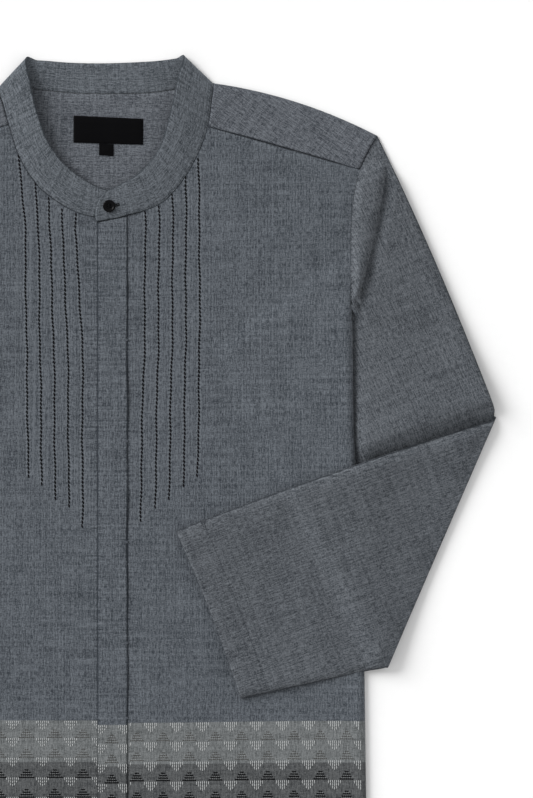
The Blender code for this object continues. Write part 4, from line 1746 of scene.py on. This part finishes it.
    def laid(self, points: Grid, z: Grid, turns: Array) -> Grid:
        """Lay the rings down, with their rolled edges and creases.

        Args:
            points: The rings' plan points at +X.
            z: Their heights.
            turns: How far each ring has gone round the elbow's fold.

        Returns:
            Their heights as laid.
        """
        x, y = points[..., 0], points[..., 1]
        far, upper = self.across()
        over_at, under_at = self.edge_steps + len(self.shares) - 1, self.edge_steps
        widths = np.hypot(*(points[:, over_at] - points[:, under_at]).T)[:, None]
        over_gap, layer = np.abs(far[None, :-1]) * widths, upper[None, :-1]
        under_gap = widths - over_gap
        turned_back = (turns > math.pi - NO_TURN)[:, None]
        straight = (turns < NO_TURN)[:, None]
        beside = LIE.sleeve(x, y, self.folded)
        free = smooth((x - PLAN.side_x(y)) / 10)
        armhole = self.armhole()[: self.armhole_points : 8]
        seam = nearest(points.reshape(-1, 2), [armhole])[:, 1].reshape(x.shape)
        dip = smooth((LIE.above_forearm(x, y) - 2) / 24) if self.folded else 1.0
        roll = rounded(over_gap, 9) * (0.3 + 0.7 * faded(over_gap, 9, 36))
        lifted = beside + 2.4 * roll * free * smooth(seam / 26) * dip
        if not self.folded:
            creases = sum(crease.rise(-x, y) for crease in STRAIGHT_FOREARM_CREASES)
            low = rolled(under_gap, 8, 30) * smooth((-60 - y) / 70)
            return z + layer * (lifted + creases + 2.0 * low)
        z = z + np.where(straight, layer * lifted, 0.0)
        over = LIE.over_body(x, y)
        lie = over * LIE.over_side(x, y) + (1 - over) * beside * free
        from_fold = (self.elbow - points) @ self.fold_out - self.fold_level
        share = smooth(from_fold / 190)
        top, low = rolled(over_gap, 9, 34), rolled(under_gap, 8, 30)
        middle = rounded(over_gap, 22) * rounded(under_gap, 22)
        loft = (5.2 - 3.0 * share) * top + (3.0 - 0.8 * share) * low + 1.1 * middle
        loft = loft * (0.45 + 0.55 * smooth(from_fold / 12))
        creases = sum(crease.rise(x, y) for crease in FOREARM_CREASES)
        loft = loft + creases * smooth(from_fold / 20)
        back = lie + PLAN.sleeve_lift * over + (1 - layer) * loft
        going = smooth((z - self.fold_level) / 1.6) * ~straight * ~turned_back
        return z + np.where(turned_back, back, going * back[turned_back[:, 0]][0])


def new_tree(name: str, sizes: Sequence[str]) -> tuple[Tree, Node, dict[str, str]]:
    """Start a Geometry Nodes tree.

    Args:
        name: The tree's name.
        sizes: The names of its number inputs.

    Returns:
        The tree, its input node, and the identifier of each input.
    """
    tree = bpy.data.node_groups.new(name, "GeometryNodeTree")
    face = tree.interface
    face.new_socket("Geometry", in_out="INPUT", socket_type="NodeSocketGeometry")
    found = {}
    for size in sizes:
        made = face.new_socket(size, in_out="INPUT", socket_type="NodeSocketFloat")
        found[size] = made.identifier
    made = face.new_socket("Material", in_out="INPUT", socket_type="NodeSocketMaterial")
    found["Material"] = made.identifier
    face.new_socket("Geometry", in_out="OUTPUT", socket_type="NodeSocketGeometry")
    return tree, tree.nodes.new("NodeGroupInput"), found


def end_tree(tree: Tree, start: Node, points: Socket, turn: Socket, length: Socket,
             bead: tuple[int, int]) -> None:
    """End a tree in a round-ended thread on each point, Realize Instances and Set Material.

    Args:
        tree: The tree.
        start: Its input node.
        points: The points or the curve that take the threads.
        turn: The threads' rotation.
        length: Their length.
        bead: The segments and rings of the bead that each thread is stretched from.
    """
    seed = node(tree, "GeometryNodeMeshUVSphere",
                {"Segments": bead[0], "Rings": bead[1], "Radius": 0.5})
    size = node(tree, "ShaderNodeCombineXYZ",
                {0: length, 1: start.outputs["Width"], 2: start.outputs["Height"]})
    threads = node(tree, "GeometryNodeInstanceOnPoints",
                   {"Points": points, "Instance": seed.outputs["Mesh"], "Rotation": turn,
                    "Scale": size.outputs[0]})
    real = node(tree, "GeometryNodeRealizeInstances", {0: threads.outputs[0]})
    soft = node(tree, "GeometryNodeSetShadeSmooth", {0: real.outputs[0]})
    dressed = node(tree, "GeometryNodeSetMaterial",
                   {0: soft.outputs[0], "Material": start.outputs["Material"]})
    node(tree, "NodeGroupOutput", {0: dressed.outputs[0]})


def stitch_tree() -> tuple[Tree, dict[str, str]]:
    """Build the tree that sets running stitches along lines.

    Returns:
        The tree and the identifier of each input.
    """
    tree, start, found = new_tree("running stitches",
                                  ("Pitch", "Length", "Width", "Height", "Lean"))
    curve = node(tree, "GeometryNodeMeshToCurve", {0: start.outputs["Geometry"]})
    spaced = node(tree, "GeometryNodeResampleCurve",
                  {"Curve": curve.outputs[0], "Length": start.outputs["Pitch"]}, mode="LENGTH")
    tangent = node(tree, "GeometryNodeInputTangent")
    aim = node(tree, "FunctionNodeAlignRotationToVector", {"Vector": tangent.outputs[0]}, axis="X")
    lean = node(tree, "FunctionNodeAxisAngleToRotation",
                {"Axis": (0.0, 0.0, 1.0), "Angle": start.outputs["Lean"]})
    aim = node(tree, "FunctionNodeRotateRotation", {0: aim.outputs[0], 1: lean.outputs[0]},
               rotation_space="GLOBAL")
    end_tree(tree, start, spaced.outputs[0], aim.outputs[0], start.outputs["Length"], (8, 5))
    return tree, found


def bar_tree() -> tuple[Tree, dict[str, str]]:
    """Build the tree that sets a thread on each point, as long and as turned as the point says.

    Returns:
        The tree and the identifier of each input.
    """
    tree, start, found = new_tree("thread bars", ("Width", "Height"))
    cloud = node(tree, "GeometryNodeMeshToPoints", {0: start.outputs["Geometry"]})
    length = node(tree, "GeometryNodeInputNamedAttribute", {"Name": "length"}, data_type="FLOAT")
    turn = node(tree, "GeometryNodeInputNamedAttribute", {"Name": "turn"}, data_type="FLOAT")
    aim = node(tree, "ShaderNodeCombineXYZ", {2: turn.outputs[0]})
    end_tree(tree, start, cloud.outputs[0], aim.outputs[0], length.outputs[0], (6, 4))
    return tree, found


def grown(name: str, base: Mesh, tree: Tree,
          inputs: dict[str, Any], look: Material) -> Object:
    """Run a Geometry Nodes tree on a mesh and keep the result as a plain piece.

    Args:
        name: The name of the piece.
        base: The mesh that the tree starts from, in metres.
        tree: The tree.
        inputs: Its input values by identifier.
        look: The piece's material.

    Returns:
        The new piece, with no modifier.
    """
    seed = bpy.data.objects.new(name + "_base", base)
    bpy.context.scene.collection.objects.link(seed)
    modifier = seed.modifiers.new("threads", "NODES")
    modifier.node_group = tree
    for identifier, value in inputs.items():
        modifier[identifier] = value
    graph = bpy.context.evaluated_depsgraph_get()
    data = bpy.data.meshes.new_from_object(seed.evaluated_get(graph))
    bpy.data.objects.remove(seed, do_unlink=True)
    return place(name, data, look)


@dataclass
class RunningStitches:
    """The ten lines of hand stitching down both sides of the opening."""

    length: float = 3.95
    width: float = 1.65
    height: float = 0.9
    lean: float = 14.0
    above: float = 0.2
    # A pitch a hair short, so that a line's last stitch isn't lost to rounding.
    ease: float = 0.9999

    def build(self, looks: Looks) -> Object:
        """Build all ten lines as one piece.

        Args:
            looks: The shirt's finishes.

        Returns:
            The finished piece.
        """
        base = bpy.data.meshes.new("stitch_lines")
        points, edges = [], []
        for line in STITCH_LINES:
            path = stitch_path(line)
            level = LIE.front(path[:, 0], path[:, 1], PLAN.high) + self.above
            first = len(points)
            points += [(x * MM, y * MM, z * MM) for (x, y), z in zip(path, level)]
            edges += [(at, at + 1) for at in range(first, len(points) - 1)]
        base.from_pydata(points, edges, [])
        tree, found = stitch_tree()
        inputs = {found["Pitch"]: STITCH_PITCH * MM * self.ease, found["Length"]: self.length * MM,
                  found["Width"]: self.width * MM, found["Height"]: self.height * MM,
                  found["Lean"]: math.radians(self.lean), found["Material"]: looks.black_thread}
        return grown("running_stitches", base, tree, inputs, looks.black_thread)


@dataclass(frozen=True)
class Bar:
    """One short thread on the surface: its middle, its length and its turn from X."""

    x: float
    y: float
    z: float
    length: float
    turn: float = 0.0


def thread_bars(name: str, bars: Sequence[Bar], width: float, height: float,
                look: Material) -> Object:
    """Make one piece of short threads.

    Args:
        name: The name of the piece.
        bars: The threads.
        width: How wide each is, in millimetres.
        height: How high each is.
        look: Their material.

    Returns:
        The finished piece.
    """
    base = bpy.data.meshes.new(name + "_points")
    base.from_pydata([(bar.x * MM, bar.y * MM, bar.z * MM) for bar in bars], [], [])
    for key, values in (("length", [bar.length * MM for bar in bars]),
                        ("turn", [bar.turn for bar in bars])):
        layer = base.attributes.new(key, "FLOAT", "POINT")
        layer.data.foreach_set("value", values)
    tree, found = bar_tree()
    inputs = {found["Width"]: width * MM, found["Height"]: height * MM, found["Material"]: look}
    return grown(name, base, tree, inputs, look)


@dataclass
class WovenBands:
    """The floats woven into the bands: small stepped triangles with pale drops between them."""

    row_pitch: float = 17.75
    light_rows: int = 2
    dark_rows: int = 4
    # The triangles' pitch and first middle on the left front, then on the right.
    left: Pair = (23.6, 24.1)
    right: Pair = (25.4, -24.4)
    across: int = 9
    on_strip: Pair = (1.5, -3.9)
    above: float = 0.38
    base_drop: float = 15.2
    triangle: tuple[float, ...] = (13.4, 10.2, 7.0, 3.4)
    step: float = 2.2
    bead: float = 1.8
    drops: tuple[float, ...] = (2.8, 4.4, 6.8, 7.6, 6.8, 4.6, 2.8)
    dash: float = 2.5

    def columns(self) -> list[tuple[float, float, bool]]:
        """Find the middles of the triangles across the front.

        Returns:
            For each column its X, its level's sag, and whether it is on the placket.
        """
        made = [(*self.on_strip, True)]
        for (pitch, first), way in ((self.left, 1), (self.right, -1)):
            made += [(first + way * pitch * at, 0.0, False) for at in range(self.across)]
        return made

    def shift(self, x: float) -> float:
        """How far the bands sag at a place across the left front."""
        return float(band_sag(x)) if x > PLAN.placket[1] else 0.0

    def on_cloth(self, x: float, y: float, length: float, turn: float, on_placket: bool) -> Bar:
        """Lay a thread on the surface of the front or of the placket.

        Args:
            x: The X of its middle.
            y: The Y of its middle.
            length: Its length.
            turn: Its turn from X.
            on_placket: Whether it lies on the placket.

        Returns:
            The thread.
        """
        where = np.array(x), np.array(y)
        z = LIE.placket(*where) if on_placket else LIE.front(*where, PLAN.high)
        return Bar(x, y, float(z) + self.above, length, turn)

    def build(self, looks: Looks) -> list[Object]:
        """Build the floats of the front, one piece for each yarn.

        Args:
            looks: The shirt's finishes.

        Returns:
            The pale, black and fawn floats.
        """
        black, fawn, pale = [], [], []
        for x, sag, on_placket in self.columns():
            pitch = (self.left if x > 0 else self.right)[0]
            for row in range(self.light_rows + self.dark_rows):
                light = row < self.light_rows
                drift = 0.0 if light else 0.5
                base = PLAN.band_top + sag - self.base_drop - self.row_pitch * row - drift
                base -= 0.9 * (x > PLAN.placket[0])
                for step, width in enumerate(self.triangle):
                    y = base + self.step * step + self.shift(x)
                    beads = max(1, round(width * pitch / 24.5 / self.bead))
                    for at in range(beads):
                        place_x = x + (at - (beads - 1) / 2) * self.bead
                        if abs(place_x) > PLAN.side_x(np.array(y)) - 3:
                            continue
                        length = self.bead * (0.9 if light else 1.25)
                        bar = self.on_cloth(place_x, y, length, 0.0, on_placket)
                        (fawn if light else black).append(bar)
                        if at and step < len(self.triangle) - 1:
                            dot_x, dot_y = place_x - self.bead / 2, y + self.step / 2
                            pale.append(self.on_cloth(dot_x, dot_y, 0.3, 0.0, on_placket))
                hang = PLAN.band_top + sag - self.row_pitch * row
                if row:
                    hang += 2.3 if x < PLAN.placket[0] else 0.2
                centres = [x - 10.2, x + 10.6] if on_placket else [x + math.copysign(pitch / 2, x)]
                if abs(abs(x) - 24.2) < 1:
                    centres.append(x - math.copysign(pitch / 2, x))
                for centre in centres:
                    pale += self.drop(centre, hang, on_placket)
        return [
            thread_bars("woven_pale_floats", pale, 0.7, 0.4, looks.white_float),
            thread_bars("woven_black_floats", black, 1.5, 0.55, looks.black_float),
            thread_bars("woven_fawn_floats", fawn, 0.85, 0.4, looks.fawn_float),
        ]

    def drop(self, centre: float, hang: float, on_placket: bool) -> list[Bar]:
        """The pale floats between two triangles, longer and unbroken on the left front.

        Args:
            centre: Their middle across.
            hang: The level that they hang from.
            on_placket: Whether they are woven in the placket.

        Returns:
            The floats that lie on this piece of cloth.
        """
        low, high = PLAN.placket[0] + 0.6, PLAN.placket[1] - 0.6
        made = []
        for at, full in enumerate(self.drops):
            x = self.bead * (round(centre / self.bead + 0.25) + at - len(self.drops) // 2 + 0.25)
            inside = low < x < high
            outside = not low - 1.6 < x < high + 1.6 and abs(x) < PLAN.side_x(np.array(hang)) - 4
            if not (inside if on_placket else outside):
                continue
            length = full * 1.15
            dashes = max(1, round(length / self.dash))
            for dash in range(dashes):
                y = hang + self.shift(x) - length * (dash + 0.5) / dashes
                each = length / dashes - (0.3 if x < 0 else -0.5)
                made.append(self.on_cloth(x, y, each, math.pi / 2, on_placket))
        return made


@dataclass
class BarTacks:
    """The short bars sewn across the fly's edge, and the worked buttonhole in the collar."""

    levels: tuple[float, ...] = (144.0, 53.1, -37.8, -128.7, -196.2)
    across: float = 4.0
    threads: int = 5
    spacing: float = 0.42
    # The buttonhole's end that shows, how far it runs on, its level and its threads on a side.
    hole: Pair = (4.4, 264.8)
    hole_run: Pair = (4.0, 1.3)
    hole_level: float = 4.6
    hole_threads: int = 9
    hole_gap: Pair = (0.3, 0.75)

    def build(self, looks: Looks) -> list[Object]:
        """Build the tacks and the buttonhole.

        Args:
            looks: The shirt's finishes.

        Returns:
            One piece of grey thread and one of black.
        """
        tacks = []
        x = PLAN.placket[1] - 0.8
        for level in self.levels:
            for at in range(self.threads):
                y = level + (at - (self.threads - 1) / 2) * self.spacing
                z = float(LIE.placket(np.array(x), np.array(y))) + 0.35
                tacks.append(Bar(x, y, z, self.across, 0.06 * (-1) ** at))
        edge = []
        for share in np.arange(self.hole_threads) / (self.hole_threads - 1):
            x, y = np.array(self.hole) + np.array(self.hole_run) * share
            z = self.hole_level + float(LIE.body(x, y))
            for side in (1, -1):
                edge.append(Bar(x - self.hole_gap[0] * side, y + self.hole_gap[1] * side, z, 1.3,
                                math.pi / 2 + 0.3))
        return [thread_bars("fly_bar_tacks", tacks, 0.5, 0.4, looks.grey_thread),
                thread_bars("buttonhole_edge", edge, 0.5, 0.4, looks.black_thread)]


@dataclass
class CollarButton:
    """The four-hole collar button, turned with a rim and a dished middle, and its thread."""

    centre: Pair = (-0.5, 264.2)
    base: float = 4.55
    height: float = 2.3
    hole_radius: float = 0.75
    hole_out: float = 1.35
    sides: int = 96
    profile: tuple[Pair, ...] = (
        # radius, height
        (0.0, 1.55), (2.2, 1.55), (3.2, 1.68), (3.9, 2.05), (4.4, 2.26), (4.8, 2.3), (5.2, 2.2),
        (5.5, 1.95), (5.65, 1.6), (5.6, 1.2), (5.3, 0.75), (4.7, 0.4), (3.6, 0.1), (3.0, 0.0),
        (0.0, 0.0),
    )

    def build(self, looks: Looks) -> Object:
        """Build the button with its holes cut through.

        Args:
            looks: The shirt's finishes.

        Returns:
            The finished piece.
        """
        body = bmesh.new()
        rings = []
        for radius, height in self.profile:
            if radius == 0:
                rings.append([body.verts.new(self.at(0, 0, height))])
                continue
            angles = np.arange(self.sides) * math.tau / self.sides
            places = [self.at(radius * math.cos(a), radius * math.sin(a), height) for a in angles]
            rings.append([body.verts.new(at) for at in places])
        for ring, after in zip(rings, rings[1:]):
            for at in range(self.sides):
                then = (at + 1) % self.sides
                corners = [ring[at % len(ring)], after[at % len(after)], after[then % len(after)],
                           ring[then % len(ring)]]
                body.faces.new(list(dict.fromkeys(corners)))
        bmesh.ops.recalc_face_normals(body, faces=body.faces)
        drills = bmesh.new()
        radius = self.hole_radius * MM
        for angle in (math.tau * (step + 0.5) / 4 for step in range(4)):
            x, y = self.hole_out * math.cos(angle), self.hole_out * math.sin(angle)
            drill = bmesh.ops.create_cone(drills, cap_ends=True, segments=24, radius1=radius,
                                          radius2=radius, depth=8 * MM)
            bmesh.ops.translate(drills, vec=self.at(x, y, self.height / 2), verts=drill["verts"])
        meshes = []
        for name, work in (("button_blank", body), ("button_drills", drills)):
            data = bpy.data.meshes.new(name)
            work.to_mesh(data)
            work.free()
            meshes.append(place(name, data, looks.button))
        blank, cutter = meshes
        cut = blank.modifiers.new("holes", "BOOLEAN")
        cut.object = cutter
        cut.solver = "EXACT"
        graph = bpy.context.evaluated_depsgraph_get()
        data = bpy.data.meshes.new_from_object(blank.evaluated_get(graph))
        for old in meshes:
            bpy.data.objects.remove(old, do_unlink=True)
        data.shade_smooth()
        data.set_sharp_from_angle(angle=math.radians(40))
        piece = place("collar_button_turned", data, looks.button)
        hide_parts("collar_button")
        return piece

    def at(self, x: float, y: float, z: float) -> tuple[float, float, float]:
        """A place on the button in metres."""
        return ((self.centre[0] + x) * MM, (self.centre[1] + y) * MM, (self.base + z) * MM)

    def build_thread(self, looks: Looks) -> Object:
        """Build the crossed thread in the holes.

        Args:
            looks: The shirt's finishes.

        Returns:
            The finished piece.
        """
        bars = []
        for angle in (math.pi / 4, 3 * math.pi / 4):
            for offset in (-0.22, 0.22):
                bars.append(Bar(self.centre[0] - offset * math.sin(angle),
                                self.centre[1] + offset * math.cos(angle),
                                self.base + 1.62, 2 * self.hole_out + 0.5, angle))
        return thread_bars("button_thread", bars, 0.45, 0.42, looks.black_thread)


@dataclass
class NeckLabel:
    """A bare woven label sewn inside the back neck, built as a thin arched slip."""

    name: str
    node: str
    low: Pair
    high: Pair
    # How far the top edge is raised, then how far the top and the bottom edge slant.
    slant: tuple[float, float, float]
    level: float = 0.95
    arch: float = 0.35
    wall: float = 0.5
    ripple: float = 0.06

    def build(self, looks: Looks) -> Object:
        """Build the label as a thin arched slip.

        Args:
            looks: The shirt's finishes.

        Returns:
            The finished piece.
        """
        across, down = np.linspace(0, 1, 41), np.linspace(0, 1, 17)
        x = self.low[0] + (self.high[0] - self.low[0]) * across[None, :] + 0 * down[:, None]
        y = self.high[1] + (self.low[1] - self.high[1]) * down[:, None] + 0 * across[None, :]
        edge = np.minimum(np.minimum(x - self.low[0], self.high[0] - x),
                          np.minimum(y - self.low[1], self.high[1] - y))
        raised, top, bottom = self.slant
        fall = top + (bottom - top) * down[:, None]
        y = y + raised * (1 - down[:, None]) + fall * (0.5 - across[None, :])
        ripple = self.ripple * np.sin(x / 4.1) * smooth(edge / 3)
        z = self.level + self.arch * smooth(edge / 6) + ripple
        grid = np.dstack([x, y, z])
        cloth = ClothMesh(self.name)
        cloth.add(grid, grid[..., :2], [grid[0, ::8, :2], grid[-1, ::8, :2]])
        piece = cloth.make(looks.label, self.wall)
        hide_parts(self.node)
        return piece


@dataclass
class Studio:
    """The white sweep, the soft light from the upper left, and the camera straight above."""

    aim: Pair = (140.85, 90.9)
    lens: float = 85.0
    sensor: float = 36.0
    frame_height: float = 718.2
    sun_power: float = 3.4
    sun_height: float = 27.0
    sun_from: float = 149.0
    sun_soft: float = 32.0
    zenith: float = 0.3
    horizon: float = 1.75
    half: float = 6000.0

    def build(self) -> None:
        """Build the floor, the lights and the camera."""
        scene = bpy.context.scene
        data = bpy.data.meshes.new("sweep")
        corners = [(x * self.half * MM, y * self.half * MM, 0)
                   for x, y in ((-1, -1), (1, -1), (1, 1), (-1, 1))]
        data.from_pydata(corners, [], [(0, 1, 2, 3)])
        place("sweep", data, PaperSweep().material())

        sun = bpy.data.lights.new("soft_key", "SUN")
        sun.energy = self.sun_power
        sun.angle = math.radians(self.sun_soft)
        key = bpy.data.objects.new("soft_key", sun)
        key.rotation_euler = (math.radians(90 - self.sun_height), 0,
                              math.radians(self.sun_from + 90))
        scene.collection.objects.link(key)

        world = bpy.data.worlds.new("soft_fill")
        world.use_nodes = True
        back = world.node_tree.nodes["Background"]
        back.inputs[0].default_value = (1.0, 1.0, 1.0, 1.0)
        way = node(world.node_tree, "ShaderNodeTexCoord")
        height = node(world.node_tree, "ShaderNodeSeparateXYZ", {0: way.outputs["Generated"]})
        glow = node(world.node_tree, "ShaderNodeMapRange",
                    {0: height.outputs[2], 3: self.horizon, 4: self.zenith})
        world.node_tree.links.new(glow.outputs[0], back.inputs[1])
        scene.world = world

        camera = bpy.data.cameras.new("camera")
        camera.lens = self.lens
        camera.sensor_width = self.sensor
        camera.clip_start, camera.clip_end = 0.05, 30.0
        view = bpy.data.objects.new("camera", camera)
        far = self.frame_height / self.sensor * self.lens * MM
        view.location = (self.aim[0] * MM, self.aim[1] * MM, far + 3 * MM)
        scene.collection.objects.link(view)
        scene.camera = view
        scene.view_settings.view_transform = "Standard"


def report(piece: Object) -> None:
    """Let a finished piece ride with the shirt and log it.

    Args:
        piece: The finished piece.
    """
    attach(piece, "root")
    data = piece.data
    LOG.info("%s: %d points, %d faces", piece.name, len(data.vertices), len(data.polygons))


LABELS = (
    ("neck_label_woven", "neck_label", (-33.0, 321.0), (29.6, 344.0), (0.8, 2.9, 2.0)),
    ("size_tab_woven", "size_tab", (-9.9, 310.2), (3.0, 320.9), (0.0, 1.1, 1.1)),
)


def main() -> None:
    """Build the shirt's pieces in order, then the studio."""
    logging.basicConfig(level=logging.INFO, format="%(message)s")
    looks = Looks.build()
    panels = [BackPanel(), Yoke(), FrontPanel(1), FrontPanel(-1, flat=(0.246, 0.692), area=0.156),
              Placket(), StandCollar(), Sleeve(ArmLay.FOLDED), Sleeve(ArmLay.STRAIGHT)]
    for panel in panels:
        report(panel.build(looks))
    report(RunningStitches().build(looks))
    for piece in WovenBands().build(looks) + BarTacks().build(looks):
        report(piece)
    button = CollarButton()
    report(button.build(looks))
    report(button.build_thread(looks))
    for name, stands_for, low, high, slant in LABELS:
        report(NeckLabel(name, stands_for, low, high, slant).build(looks))
    Studio().build()


if __name__ == "__main__":
    main()
